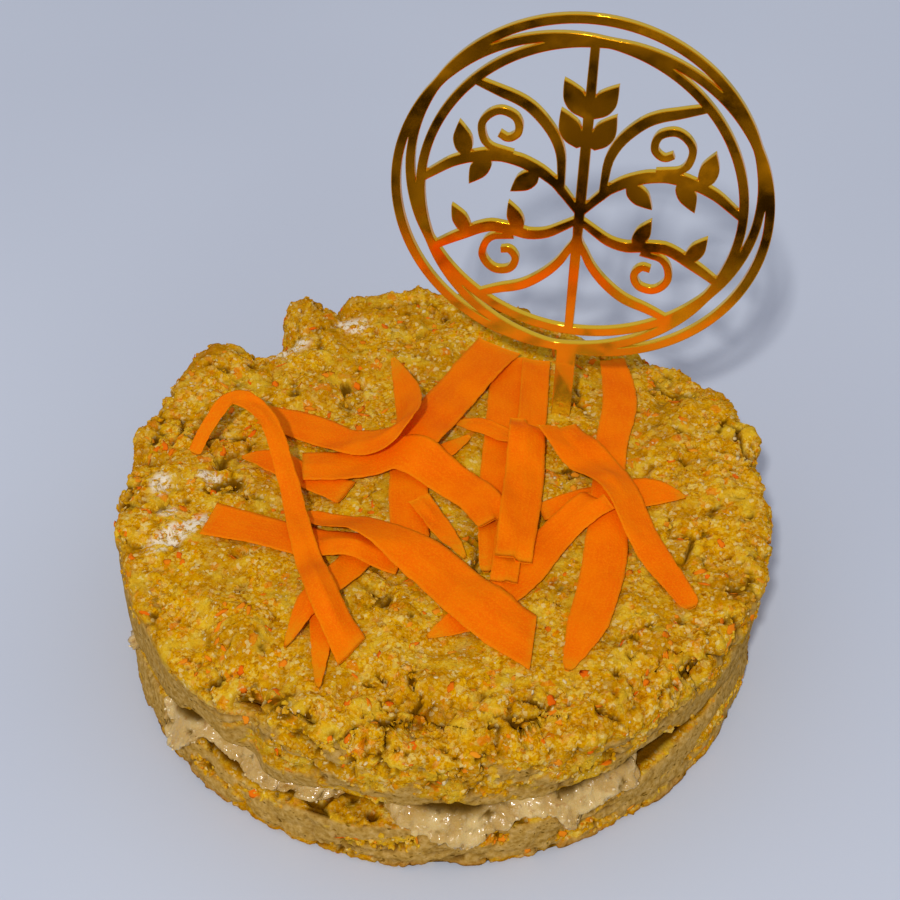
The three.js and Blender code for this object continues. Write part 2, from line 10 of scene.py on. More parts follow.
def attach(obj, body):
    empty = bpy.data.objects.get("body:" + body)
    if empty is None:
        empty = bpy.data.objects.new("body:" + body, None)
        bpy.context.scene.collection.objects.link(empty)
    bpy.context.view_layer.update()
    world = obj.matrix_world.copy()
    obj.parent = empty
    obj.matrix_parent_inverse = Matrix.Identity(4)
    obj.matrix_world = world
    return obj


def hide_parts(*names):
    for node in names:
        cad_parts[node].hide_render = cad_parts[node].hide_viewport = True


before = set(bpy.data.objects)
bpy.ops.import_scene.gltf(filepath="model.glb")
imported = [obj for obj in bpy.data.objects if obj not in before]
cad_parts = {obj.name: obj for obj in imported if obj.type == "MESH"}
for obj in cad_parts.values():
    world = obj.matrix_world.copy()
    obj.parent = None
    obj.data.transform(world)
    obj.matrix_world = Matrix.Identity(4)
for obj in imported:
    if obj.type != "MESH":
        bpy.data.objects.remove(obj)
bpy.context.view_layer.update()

# Base layer: the lower sponge, a disc of carrot crumb baked in a round tin and turned out of it.
# Its side keeps the tin's tan skin with long creases, its foot has crumbled and its top edge is uneven.
MM = 0.001
ROUND = 960
NOISE_SEED = 3
BASE_RADIUS = 98.6
BASE_HEIGHT = 17.6
# Higher and lower places of the top edge: angle, spread and rise.
BASE_FEATURES = [(211, 8, 3), (232, 9, -3), (316, 6, 2.5), (332, 10, 6)]
BASE_ROUNDING = 3
BASE_HALFWAY = 0.3 * BASE_ROUNDING
BASE_FOOT_INSET = 2.2
BASE_FOOT = 1.2
BASE_BELLY_INSET = 0.4
BASE_BELLY_RISE = 0.45
BASE_BROW_INSET = 0.6
BASE_CORE = 0.8
BASE_UNDERSIDE = 9
SIDE_WAVER = 0.9
SIDE_WAVER_SIZE = 14
SIDE_WAVER_REACH = 100
RIM_START = 78
RIM_END = 94
SWELL = 0.8
SWELL_SIZE = 26
SIDE_STEP = 0.85
CRUMB_ROUGHNESS = 0.9
# Clumps of crumb: size and height. What they wander by: size and amount.
CLUMPS = [(8, 1.4), (4, 1.0), (2, 0.65)]
CLUMP_REACH = 0.85
CLUMP_MIDDLE = 0.72
CLUMP_WANDER = [(4, 0.9), (11, 2)]
CRACK_SPACING = 12
CRACK_WIDTH = 0.08
CRACK_DEPTH = 4.5
PORE_SPACING = 3.2
PORE_DEPTH = 1.8
CREASE_WIDTH = 0.07
CREASE_DEPTH = 1.6
SKIN_PATCH = 16
SKIN_THICKNESS = 0.5
SKIN_SMOOTHING = 0.6
GAP_LIT = 96.4
GAP_DARK = 93.6
# The place at the front where the seam stands open and the painted shade in the gap starts further in: angle
# and spread.
OPEN_GAP = (255, 8)
OPEN_GAP_DEPTH = 7
angles = np.arange(ROUND) * 360 / ROUND
noise.seed_set(NOISE_SEED)


def paint(red, green, blue):
    """A colour as it looks on a screen, from 0 to 255, turned into the light it stands for."""
    parts = np.array([red, green, blue]) / 255
    light = np.where(parts <= 0.04045, parts / 12.92, ((parts + 0.055) / 1.055) ** 2.4)
    return (*light.tolist(), 1.0)


def ease(value, start, end):
    """A smooth step from 0 at the start to 1 at the end, which may be the lower of the two."""
    part = np.clip((value - start) / (end - start), 0, 1)
    return part * part * (3 - 2 * part)


def lattice(i, j, seed):
    wave = np.sin(i * 12.9898 + j * 78.233 + seed * 37.719) * 43758.5453
    return 2 * (wave - np.floor(wave)) - 1


def lumps(x, y, size, seed):
    """Smooth random lumps between -1 and 1, about one size apart."""
    i = np.floor(x / size)
    j = np.floor(y / size)
    u = ease(x / size - i, 0, 1)
    v = ease(y / size - j, 0, 1)
    near = lattice(i, j, seed) * (1 - u) + lattice(i + 1, j, seed) * u
    far = lattice(i, j + 1, seed) * (1 - u) + lattice(i + 1, j + 1, seed) * u
    return near * (1 - v) + far * v


def polar(radius, angle):
    return radius * np.cos(np.radians(angle)), radius * np.sin(np.radians(angle))


def share(angle, middle, spread):
    """Share of a feature at an angle, 1 at its middle and fading out over its spread."""
    turn = (angle - middle + 540) % 360 - 180
    return np.exp(-((turn / spread) ** 2))


def turn_of(points):
    """The angle of each point round the middle of the cake."""
    return np.degrees(np.arctan2(points[:, 1], points[:, 0])) % 360


def reach_of(points):
    """How far each point is from the middle of the cake, measured level."""
    return np.hypot(points[:, 0], points[:, 1])


def side_waver(angle, seed):
    return SIDE_WAVER * lumps(*polar(SIDE_WAVER_REACH, angle), SIDE_WAVER_SIZE, seed)


def near_rim(radius):
    return ease(radius, RIM_START, RIM_END)


def base_top(radius, angle):
    height = BASE_HEIGHT + SWELL * lumps(*polar(radius, angle), SWELL_SIZE, 5)
    for middle, spread, up in BASE_FEATURES:
        height = height + near_rim(radius) * up * share(angle, middle, spread)
    return height


def fill_rows(stations, step):
    """Rows of points round the cake between the given radii and heights, about one step apart."""
    rows = [stations[0]]
    for (near, low), (far, high) in zip(stations, stations[1:]):
        count = max(1, round(float(np.mean(np.hypot(far - near, high - low))) / step))
        for n in range(1, count + 1):
            rows.append((near + (far - near) * n / count, low + (high - low) * n / count))
    return rows


def row_points(rows):
    points = []
    for radius, height in rows:
        x, y = polar(radius, angles)
        points.append(np.stack([x, y, height + 0 * angles], axis=1))
    return np.concatenate(points)


def row_faces(count):
    here = np.arange(ROUND)
    after = (here + 1) % ROUND
    faces = []
    for row in range(count - 1):
        low = row * ROUND
        high = low + ROUND
        faces += np.stack([low + here, low + after, high + after, high + here], axis=1).tolist()
    return faces


def corners_of(points, faces):
    """Each face's four corners, first as numbers and then as places; a triangle's last counts twice."""
    corners = np.array([face if len(face) == 4 else [*face, face[2]] for face in faces])
    return corners, [points[corners[:, n]] for n in range(4)]


def normals_of(points, faces):
    """Directions in which a surface faces at its points."""
    corners, (a, b, c, d) = corners_of(points, faces)
    facing = np.cross(c - a, d - b)
    normals = np.zeros_like(points)
    for n in range(4):
        np.add.at(normals, corners[:, n], facing)
    return normals / np.maximum(np.linalg.norm(normals, axis=1, keepdims=True), 1e-9)


def dome(place, size):
    """Height from 0 to 1 on the round clump at a place, clumps being about one size apart."""
    away = noise.voronoi(place / size)[0][0] / CLUMP_REACH
    return math.sqrt(max(0.0, 1 - away * away))


def crumb_relief(points, rough):
    """How far clumps, cracks and pores stand out of the smooth form, more where the crumb is rough."""
    relief = np.zeros(len(points))
    for n, point in enumerate(points.tolist()):
        place = Vector(point)
        shifted = place
        for size, amount in CLUMP_WANDER:
            shifted = shifted + noise.noise_vector(place / size) * amount
        height = 0.5 * noise.fractal(place / 5, 0.6, 2.2, 5)
        for size, tall in CLUMPS:
            height += tall * (dome(shifted, size) - CLUMP_MIDDLE)
        near, far = noise.voronoi(shifted / CRACK_SPACING)[0][:2]
        parted = max(0.0, 0.1 + noise.noise(place / 21))
        height -= CRACK_DEPTH * parted * math.exp(-(((far - near) / CRACK_WIDTH) ** 2))
        open_part = noise.noise(shifted / PORE_SPACING) - 0.45 + 0.4 * noise.noise(place / 17)
        relief[n] = height - PORE_DEPTH * min(1.0, max(0.0, 4 * open_part))
    return relief * rough


def skin_left(points, hold):
    """1 where the tin's skin is still on the side and 0 where it is torn off; hold above 0 keeps more."""
    left = np.zeros(len(points))
    for n, (x, y, z) in enumerate(points.tolist()):
        left[n] = noise.fractal(Vector((x, y, 2 * z)) / SKIN_PATCH, 0.8, 2.1, 5)
    return ease(left + hold, -0.08, 0.08)


def crease_relief(points):
    """Long level creases in the side, where the skin has split."""
    relief = np.zeros(len(points))
    for n, (x, y, z) in enumerate(points.tolist()):
        level = noise.noise(Vector((x / 23, y / 23, z / 3.4)))
        split = noise.noise(Vector((x / 31, y / 31, z / 9 + 7)))
        relief[n] = -math.exp(-((level / CREASE_WIDTH) ** 2)) * max(0.0, 0.35 + split)
    return relief


def crevice_shade(relief):
    """Painted shade: 1 at the bottom of cracks and pores, where shade is painted into the crumb's colour,
    and 0 on what stands out.
    """
    return ease(relief, -0.2, -1.9)


def add_piece(name, points, faces, masks, material):
    mesh = bpy.data.meshes.new(name)
    mesh.from_pydata((points * MM).tolist(), [], faces)
    mesh.shade_smooth()
    for mask, values in masks.items():
        mesh.attributes.new(mask, "FLOAT", "POINT").data.foreach_set("value", values.astype(np.float32))
    mesh.materials.append(material)
    piece = bpy.data.objects.new(name, mesh)
    bpy.context.scene.collection.objects.link(piece)
    return piece


def node(tree, kind, inputs, **settings):
    made = tree.nodes.new("ShaderNode" + kind)
    for name, value in settings.items():
        setattr(made, name, value)
    for name, value in inputs.items():
        if isinstance(value, bpy.types.NodeSocket):
            tree.links.new(value, made.inputs[name])
        else:
            made.inputs[name].default_value = value
    return made


def new_finish(name):
    material = bpy.data.materials.new(name)
    material.use_nodes = True
    tree = material.node_tree
    return material, tree, tree.nodes["Principled BSDF"]


def place_on(tree):
    return node(tree, "TexCoord", {}).outputs["Object"]


def cloud(tree, size, detail=2.0, place=None):
    """Noise with lumps of a size in millimetres."""
    inputs = {"Vector": place or place_on(tree), "Scale": 1 / (size * MM), "Detail": detail}
    return node(tree, "TexNoise", inputs).outputs["Fac"]


def band(tree, value, low, high, least=0.0, most=1.0):
    inputs = {"Value": value, "From Min": low, "From Max": high, "To Min": least, "To Max": most}
    return node(tree, "MapRange", inputs, interpolation_type="SMOOTHSTEP").outputs["Result"]


def blend(tree, amount, first, second, mode="MIX"):
    inputs = {0: amount, 6: first, 7: second}
    return node(tree, "Mix", inputs, data_type="RGBA", blend_type=mode).outputs[2]


def times(tree, first, second):
    return node(tree, "Math", {0: first, 1: second}, operation="MULTIPLY").outputs[0]


def vector_step(tree, operation, first, second):
    return node(tree, "VectorMath", {0: first, 1: second}, operation=operation).outputs[0]


def ramp(tree, value, stops):
    """A colour for each value: stops are a place from 0 to 1 and the colour there."""
    made = node(tree, "ValToRGB", {"Fac": value})
    steps = made.color_ramp.elements
    for n, (place, colour) in enumerate(stops):
        step = steps[n] if n < 2 else steps.new(place)
        step.position = place
        step.color = colour
    return made.outputs["Color"]


def grains(tree, size, wobble):
    """A random value for each grain of a size in millimetres, with uneven outlines."""
    uneven = node(tree, "TexNoise", {"Vector": place_on(tree), "Scale": 1 / (wobble * MM), "Detail": 2.0})
    shift = vector_step(tree, "MULTIPLY", uneven.outputs["Color"], (wobble * MM,) * 3)
    moved = vector_step(tree, "ADD", place_on(tree), shift)
    cells = node(tree, "TexVoronoi", {"Vector": moved, "Scale": 1 / (size * MM)})
    return node(tree, "SeparateColor", {"Color": cells.outputs["Color"]}).outputs[0]


def mask_of(tree, name):
    return node(tree, "Attribute", {}, attribute_name=name).outputs["Fac"]


def bump(tree, height, strength, depth):
    inputs = {"Height": height, "Strength": strength, "Distance": depth * MM}
    return node(tree, "Bump", inputs).outputs["Normal"]


def crumb_finish():
    """Baked carrot crumb: golden, orange and cream grains, browned edges and tan skin, with shade painted
    dark into pores, cracks, slits, the gap between the layers and the top layer's side.
    """
    material, tree, shader = new_finish("carrot_crumb")
    coarse = ramp(tree, grains(tree, 1.6, 2.0), [
        (0.0, paint(156, 92, 0)),
        (0.24, paint(204, 137, 0)),
        (0.58, paint(224, 160, 0)),
        (0.78, paint(226, 177, 20)),
        (0.88, paint(228, 197, 100)),
        (0.97, paint(236, 126, 4)),
    ])
    fine = ramp(tree, grains(tree, 0.65, 0.8), [
        (0.0, paint(164, 96, 0)),
        (0.3, paint(208, 141, 0)),
        (0.66, paint(225, 165, 4)),
        (0.86, paint(226, 191, 86)),
    ])
    golden = blend(tree, 0.5, coarse, fine)
    browned = band(tree, cloud(tree, 13, 4), 0.44, 0.64, 0, 0.5)
    golden = blend(tree, browned, golden, paint(184, 121, 0))
    yellow = band(tree, cloud(tree, 8, 4), 0.5, 0.66, 0, 0.5)
    golden = blend(tree, yellow, golden, paint(226, 188, 46))
    carrot_bits = band(tree, grains(tree, 2.6, 2.2), 0.96, 0.98, 0, 0.6)
    golden = blend(tree, carrot_bits, golden, paint(228, 118, 10))
    pale_bits = band(tree, grains(tree, 1.0, 1.0), 0.935, 0.95, 0, 0.6)
    golden = blend(tree, pale_bits, golden, paint(232, 206, 132))
    skinned = ramp(tree, cloud(tree, 1.6, 4), [
        (0.3, paint(158, 116, 42)),
        (0.5, paint(184, 142, 66)),
        (0.7, paint(202, 162, 92)),
    ])
    level = vector_step(tree, "MULTIPLY", place_on(tree), (0.4, 0.4, 1.0))
    # Painted shade: thin dark slits in the skin.
    slits = band(tree, cloud(tree, 0.8, 2, level), 0.64, 0.7, 0, 0.9)
    skinned = blend(tree, slits, skinned, paint(104, 74, 8))
    golden = blend(tree, mask_of(tree, "skin"), golden, skinned)
    golden = blend(tree, mask_of(tree, "toast"), golden, paint(176, 104, 10))
    # Painted shade: pores, cracks, the gap between the layers and the top layer's side are darkened in the
    # colour.
    golden = blend(tree, times(tree, mask_of(tree, "painted_shade"), 0.95), golden, paint(92, 54, 0))
    floury = times(tree, mask_of(tree, "flour"), band(tree, cloud(tree, 1.9, 4), 0.4, 0.54))
    golden = blend(tree, floury, golden, paint(240, 222, 190))
    tree.links.new(golden, shader.inputs["Base Color"])
    shader.inputs["Roughness"].default_value = 0.9
    shader.inputs["Specular IOR Level"].default_value = 0.01
    tree.links.new(bump(tree, cloud(tree, 0.6, 3), 0.7, 0.5), shader.inputs["Normal"])
    return material


def base_rows():
    top = base_top(BASE_RADIUS, angles)
    foot = BASE_RADIUS + side_waver(angles, 6)
    middle = BASE_RADIUS + side_waver(angles, 7)
    edge = BASE_RADIUS + side_waver(angles, 8)
    stations = [
        (foot - BASE_UNDERSIDE, 0 * angles),
        (foot - BASE_FOOT_INSET, 0 * angles),
        (foot, BASE_FOOT + 0 * angles),
        (middle - BASE_BELLY_INSET, BASE_BELLY_RISE * top),
        (edge - BASE_BROW_INSET, top - BASE_ROUNDING),
        (edge - BASE_HALFWAY - BASE_BROW_INSET, top - BASE_HALFWAY),
        (edge - BASE_ROUNDING - BASE_BROW_INSET, top),
        (BASE_CORE * BASE_RADIUS + 0 * angles, base_top(BASE_CORE * BASE_RADIUS, angles)),
    ]
    return fill_rows(stations, SIDE_STEP)


def closed_rows(rows, low, high):
    """Rows of points round the cake, closed by a point in the middle below the first and above the last."""
    points = row_points(rows)
    faces = row_faces(len(rows))
    last = len(points) - ROUND
    points = np.vstack([points, [[0, 0, low], [0, 0, high]]])
    for n in range(ROUND):
        after = (n + 1) % ROUND
        faces.append([len(points) - 2, after, n])
        faces.append([last + n, last + after, len(points) - 1])
    return points, faces


points, base_faces = closed_rows(base_rows(), 0, BASE_HEIGHT)
normals = normals_of(points, base_faces)
on_side = ease(reach_of(normals), 0.6, 0.9)
off_floor = ease(points[:, 2], 0.0, 0.8)
skin = on_side * skin_left(points, 0.45 * ease(points[:, 2], 1, 7) - 0.12)
rough = CRUMB_ROUGHNESS - SKIN_SMOOTHING * skin
relief = crumb_relief(points, rough) + CREASE_DEPTH * on_side * crease_relief(points)
base_points = points + normals * ((relief + SKIN_THICKNESS * skin - SKIN_THICKNESS) * off_floor)[:, None]
base_points[:, 2] = np.maximum(base_points[:, 2], 0)
base_torn = on_side * (1 - skin) * ease(points[:, 2], 2, 5)
# Painted shade: the base's top is darkened where it lies in the gap under the top layer, starting further in
# at the open place in front.
lit = reach_of(points) + OPEN_GAP_DEPTH * share(turn_of(points), *OPEN_GAP)
base_gap_shade = ease(lit, GAP_LIT, GAP_DARK) * ease(points[:, 2], 10, 13)
crumb = crumb_finish()
base_crumb = add_piece("base_crumb", base_points, base_faces, {
    "painted_shade": np.maximum(crevice_shade(relief), base_gap_shade),
    "skin": skin,
    "toast": on_side * ease(base_points[:, 2], 4, 0.5) * 0.7,
    "flour": np.zeros(len(base_points)),
}, crumb)
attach(base_crumb, "root")
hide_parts("base_layer")

# Peanut filling: a thick glossy paste of ground peanuts, spread on the base and pressed out by the top.
# It stands back in some places and in others hangs over the base in torn, lumpy smears.
FILLING_RADIUS = 94
SEAM_HEIGHT = 29.8
SEAM_RADIUS = 98.8
FILLING_CORE = 0.8
FILLING_STEP = 0.7
PASTE_HOLD = 3
PASTE_SINK = 0.2
PASTE_LIFT = 0.4
PASTE_LIP = 0.8
PASTE_LIP_HEIGHT = 1.2
# From the edge up to the roof: how far behind the edge, and the part of the height or the rise there.
PASTE_BROW = [(2, 0.4), (4.6, 0.75)]
PASTE_ROOF = [(8.5, 0), (13, 0.5)]
PASTE_ROOF_GAP = 2.2
PASTE_PRESSED = 0.6
PASTE_RIDGE = 0.6
PASTE_TATTERS = 34
PASTE_TATTER_WIDTH = 0.6
PASTE_TATTER_SHARE = 0.7
PASTE_TATTER_MOST = 2.2
CLOTS = [(7, 2.4), (3.4, 1.3)]
# The torn edge: angle, radius, drop below the base's edge and gap left under the top layer.
PASTE_EDGE = [
    (0, 93, 0, 1), (45, 90, 0, 1), (150, 90, 0, 1), (190, 93, 0, 1),
    (194, 99.6, 1, 1), (198, 99.8, 1.5, 1), (201, 91, 0, 2), (210, 91, 0, 2),
    (213, 98, 0, 2), (214.5, 101, 6.6, 2), (216.7, 101.6, 11, 2), (219, 101.4, 9, 2.5),
    (221, 100, 3, 3), (222.5, 95, 0, 5), (229.5, 93, 0, 7), (233, 94.5, 0, 6),
    (239.4, 97, 0.4, 4), (242.5, 94.5, 0, 4), (245, 96, 0, 4), (248.5, 94.5, 0, 4),
    (250.7, 92, 0, 4), (252.5, 87, 0, 3), (258, 86, 0, 2), (261, 94, 0, 2),
    (265, 98.6, 0, 1.5), (268, 100.2, 1, 1.5), (269.5, 100.6, 3, 1.5), (274, 101, 5.4, 1.5),
    (276.3, 100.6, 4, 1.5), (277.2, 99.6, 0.6, 1.5), (281, 99.2, 1, 1.5), (282.2, 97.5, 0, 1.5),
    (288, 98, 0, 1.5), (290, 100, 2, 1.5), (291.2, 100.8, 6, 1.5), (293, 100.8, 6.6, 1.5),
    (294, 100.2, 2, 1.5), (298, 99.8, 0.8, 1.5), (300, 99.4, 0.4, 2), (303, 99.6, 1.6, 2.5),
    (304.4, 99.6, 2.2, 3.5), (305.8, 97.6, 0.6, 5), (307.5, 92, 0, 5), (311, 84, 0, 4),
    (326, 84, 0, 3), (340, 92, 0, 1), (360, 93, 0, 1),
]
# Higher and lower places of the top layer's underside: angle, spread and rise.
SEAM_FEATURES = [(228, 4, 3.5), (241, 5, -3.5), (309, 7, 2.6), (330, 8, -4)]


def seam_height(radius, angle):
    height = SEAM_HEIGHT + SWELL * lumps(*polar(radius, angle), SWELL_SIZE, 4)
    for middle, spread, up in SEAM_FEATURES:
        height = height + near_rim(radius) * up * share(angle, middle, spread)
    return height


def filling_rows():
    """Rows of the paste's outer part, from its torn lower edge over its brow, and its edge's radius."""
    turns, radii, drops, gaps = np.array(PASTE_EDGE).T
    spots = [Vector((*polar(PASTE_TATTERS, angle), 0)) for angle in angles.tolist()]
    torn = np.array([noise.fractal(spot, 0.5, 2.1, 5) for spot in spots])
    edge = np.interp(angles, turns, radii)
    drop = np.interp(angles, turns, drops)
    ragged = np.minimum(PASTE_TATTER_MOST, PASTE_TATTER_SHARE * drop) * torn
    low = base_top(BASE_RADIUS, angles) + PASTE_LIFT - drop + ragged
    inner_roof = seam_height(FILLING_CORE * SEAM_RADIUS, angles)
    roof = seam_height(SEAM_RADIUS, angles) - np.interp(angles, turns, gaps) - PASTE_ROOF_GAP
    outer = edge + PASTE_TATTER_WIDTH * torn
    stations = [
        (FILLING_CORE * FILLING_RADIUS + 0 * angles, base_top(BASE_CORE * BASE_RADIUS, angles)),
        (np.minimum(edge, BASE_RADIUS) - PASTE_HOLD, base_top(BASE_RADIUS, angles) - PASTE_SINK),
        (outer - PASTE_LIP, low),
        (outer, low + PASTE_LIP_HEIGHT),
        *[(edge - back, low + part * (roof - low)) for back, part in PASTE_BROW],
        *[(edge - back, roof + up) for back, up in PASTE_ROOF],
        (FILLING_CORE * FILLING_RADIUS + 0 * angles, inner_roof + PASTE_PRESSED),
    ]
    return fill_rows(stations, FILLING_STEP), edge


def paste_relief(point):
    """Torn ridges and clotted lumps of the paste."""
    place = Vector(point)
    height = PASTE_RIDGE * noise.ridged_multi_fractal(place / 5, 0.8, 2.1, 5, 0.9, 1.6)
    shifted = place + noise.noise_vector(place / 3) * 0.8
    for size, tall in CLOTS:
        height += tall * dome(shifted, size)
    return height


def paste_finish():
    """Peanut paste: beige, glossy with oil, with browner spots, paler spots that are painted highlights, and
    painted shade in the gap and between its clots, where its gloss is turned down too.
    """
    material, tree, shader = new_finish("peanut_paste")
    streaks = band(tree, cloud(tree, 7, 3), 0.35, 0.65)
    beige = blend(tree, streaks, paint(194, 153, 76), paint(216, 182, 112))
    # Painted highlights: paler spots.
    beige = blend(tree, band(tree, cloud(tree, 1.6, 2), 0.58, 0.72, 0, 0.5), beige, paint(226, 198, 142))
    beige = blend(tree, band(tree, cloud(tree, 2.2, 2), 0.6, 0.74, 0, 0.6), beige, paint(168, 116, 46))
    # Painted shade: the gap above the paste and the creases between its clots are darkened, and their gloss
    # is turned down below.
    beige = blend(tree, mask_of(tree, "painted_shade"), beige, paint(84, 56, 10))
    tree.links.new(beige, shader.inputs["Base Color"])
    tree.links.new(band(tree, mask_of(tree, "painted_shade"), 0, 0.7, 0.5, 0), shader.inputs["Specular IOR Level"])
    tree.links.new(band(tree, mask_of(tree, "painted_shade"), 0, 0.7, 0.25, 0), shader.inputs["Coat Weight"])
    tree.links.new(band(tree, cloud(tree, 2.5, 2), 0.35, 0.65, 0.1, 0.3), shader.inputs["Roughness"])
    shader.inputs["Coat Roughness"].default_value = 0.1
    shader.inputs["Subsurface Weight"].default_value = 0.15
    shader.inputs["Subsurface Radius"].default_value = (0.004, 0.0025, 0.001)
    lumpy = bump(tree, cloud(tree, 1.6, 2), 0.5, 1.0)
    tree.links.new(lumpy, shader.inputs["Normal"])
    tree.links.new(lumpy, shader.inputs["Coat Normal"])
    return material


rows, paste_edge = filling_rows()
points, paste_faces = closed_rows(rows, BASE_HEIGHT, SEAM_HEIGHT)
normals = normals_of(points, paste_faces)
swell = np.array([paste_relief(p) for p in points.tolist()])
swell = swell - swell.mean()
edge_radius = np.append(np.tile(paste_edge, len(rows)), [FILLING_RADIUS] * 2)
behind_edge = edge_radius - reach_of(points)
# Painted shade where the paste stands back in the gap under the top layer.
paste_gap_shade = ease(behind_edge, 3.4, 6.4) * ease(points[:, 2], 20, 22)
paste_points = points + normals * swell[:, None]
filling_paste = add_piece("filling_paste", paste_points, paste_faces, {
    "painted_shade": np.maximum(paste_gap_shade, 0.9 * ease(swell, -0.2, -1.3)),
}, paste_finish())
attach(filling_paste, "root")
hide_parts("peanut_filling")

# Top layer: the upper sponge, turned over so that its torn crust is on top.
# The crust is a field of crumb plates, pores and pits with a lobed, broken rim, and the side is tin skin.
TOP_RADIUS = 100
TOP_HEIGHT = 57
TOP_ROUNDING = 5
CRISP_ROUNDING = 2.4
CRISP_RIM = (206, 28)
TOP_GRID = ROUND // 4
UNDERSIDE_STEP = 6 * SIDE_STEP
SEAM_CORE = 0.75
SEAM_UNDERSIDE = 6
SEAM_LIP = 1.5
SEAM_LIP_HEIGHT = 1.2
RIM_SWELL = 1.2
RIM_SWELL_SIZE = 18
CRUST_DROP = 0.6
# Swells of the crust: height, size and seed. Rags of the ledge are given in the same way.
CRUST_SWELLS = [(1.2, 34, 1), (0.8, 15, 2), (0.9, 9, 11)]
# Lobes and notches of the rim: angle, spread, how far out and how far up.
RIM_FEATURES = [
    (164, 5, 2.2, 0),
    (140, 7, 3.2, 1),
    (128, 4.5, -9, -5),
    (118, 4, 3, 1.5),
    (112, 2.6, -5, -3),
    (60, 21, -6.5, -4),
    (188, 24, -1.5, 0),
    (212, 16, 0, -4.5),
    (229, 7, 0, -4),
    (25, 5, 3.5, 1.5),
    (14, 5, 2.5, 0),
    (236, 3.5, -4, -4),
    (247, 7, 1.5, -1.5),
]
LEDGE_DROP = 3.4
LEDGE_ANGLES = [256, 266, 272, 290, 306, 311, 314, 318]
LEDGE_RADII = [102, 88, 92.5, 94, 95, 90, 88, 102]
LEDGE_RAGS = [(1.6, 7, 12), (0.9, 3, 13)]
# Pits, and a raised block of negative depth: place, width and depth.
PITS = [(-1, -86, 6, 4), (-25, -79, 6, 3), (61, 9, 5, 2.5), (-41, -84, 14, -3)]
# Small holes in the crust: place, width and depth.
HOLES = [
    (-18, -41, 2.2, 2.5),
    (32, -44, 3, 2),
    (-14, -82, 4, 2.5),
    (-36, -86, 4, 2.5),
    (-49, 10, 3, 2.5),
    (-54, 55, 3, 2.5),
    (-68, 12, 3, 3.6),
    (-62, 3, 2.4, 3.2),
    (-58, -2, 2.2, 3),
    (-90, -5, 2.6, 3.2),
    (-48, 29, 2.6, 3.4),
    (-90, 15, 2.6, 3.2),
    (-60, -26, 2.2, 3),
]
# Holes in the side: angle, height, width and depth.
SIDE_HOLES = [
    (236, 50, 7, 6),
    (224, 32, 6, 3),
    (317, 50, 6, 4),
    (262, 47, 5, 3),
    (278, 45, 5, 3),
    (299, 39, 4, 3),
]
PLATE_SIZE = 26
PLATE_STEP = 1.3
BLOCK_SIZE = 13
BLOCK_HEIGHT = 3.4
RIDGE_SPACING = 3.6
RIDGE_HEIGHT = 1.5
# Stretches of the rim and the side that differ from the rest: angle and spread.
RIDGED_BACK = (62, 24)
SKINNED_LEFT = (204, 26)
SKINNED_RIGHT = (325, 45)
CRUMBLED_FRONT = (312, 66)
CRUMBLED_BACK = (158, 28)
SMOOTH_LEFT = (208, 26)
TOASTED_BACK = (150, 50)
# Dustings of flour: place, half the length, half the width and direction.
FLOUR = [
    (-79, -17, 11, 3.4, 38),
    (-86, 2, 4.5, 3, 80),
    (-83, -8, 2.6, 2, 20),
    (-72, 7, 4, 2, 170),
    (-50, 66, 7, 3, 30),
    (-30, 78, 5, 3, 0),
]
RIM_BENDS = [15, 30, 45, 60, 75]
RIBBON_BED = 0.35
SIDE_INSET = 0.3
CRUST_ROUGHNESS = 0.7


def rim_radius(angle):
    radius = TOP_RADIUS + RIM_SWELL * lumps(*polar(TOP_RADIUS, angle), RIM_SWELL_SIZE, 3)
    for middle, spread, out, up in RIM_FEATURES:
        radius = radius + out * share(angle, middle, spread)
    return radius


def past_ledge(radius, angle):
    """How far outside the ledge's ragged line a place is, negative inside it."""
    x, y = polar(radius, angle)
    ragged = sum(far * lumps(x, y, size, seed) for far, size, seed in LEDGE_RAGS)
    return radius - np.interp(angle, LEDGE_ANGLES, LEDGE_RADII, left=200, right=200) + ragged


def top_height(radius, angle):
    x, y = polar(radius, angle)
    height = TOP_HEIGHT - CRUST_DROP
    for tall, size, seed in CRUST_SWELLS:
        height = height + tall * lumps(x, y, size, seed)
    for middle, spread, out, up in RIM_FEATURES:
        height = height + near_rim(radius) * up * share(angle, middle, spread)
    height = height - LEDGE_DROP * ease(past_ledge(radius, angle), -0.6, 0.6)
    for pit_x, pit_y, wide, deep in PITS:
        height = height - deep * (1 - ease(np.hypot(x - pit_x, y - pit_y), 0, wide))
    return height


def rounding(angle):
    """How far the rim is rounded off: least at the left, where the skin ends in a crisp edge."""
    return TOP_ROUNDING + (CRISP_ROUNDING - TOP_ROUNDING) * share(angle, *CRISP_RIM)


def disc_grid(count):
    """A square grid drawn round: parts of the radius, angles, faces and the grid's border in order."""
    line = np.linspace(-1, 1, count + 1)
    a, b = (side.ravel() for side in np.meshgrid(line, line))
    reach = np.maximum(np.abs(a), np.abs(b))
    wide = np.abs(a) >= np.abs(b)
    slope = np.where(wide, b / np.where(a == 0, 1, a), a / np.where(b == 0, 1, b))
    turn = np.where(wide, 45 * slope + np.where(a < 0, 180, 0), 90 - 45 * slope + np.where(b < 0, 180, 0))
    cell = np.arange((count + 1) ** 2).reshape(count + 1, count + 1)
    corners = [cell[:-1, :-1], cell[:-1, 1:], cell[1:, 1:], cell[1:, :-1]]
    faces = np.stack([corner.ravel() for corner in corners], axis=1).tolist()
    border = np.flatnonzero(reach == 1)
    border = border[np.argsort(np.round(turn[border] % 360, 4))]
    return reach, turn % 360, faces, border


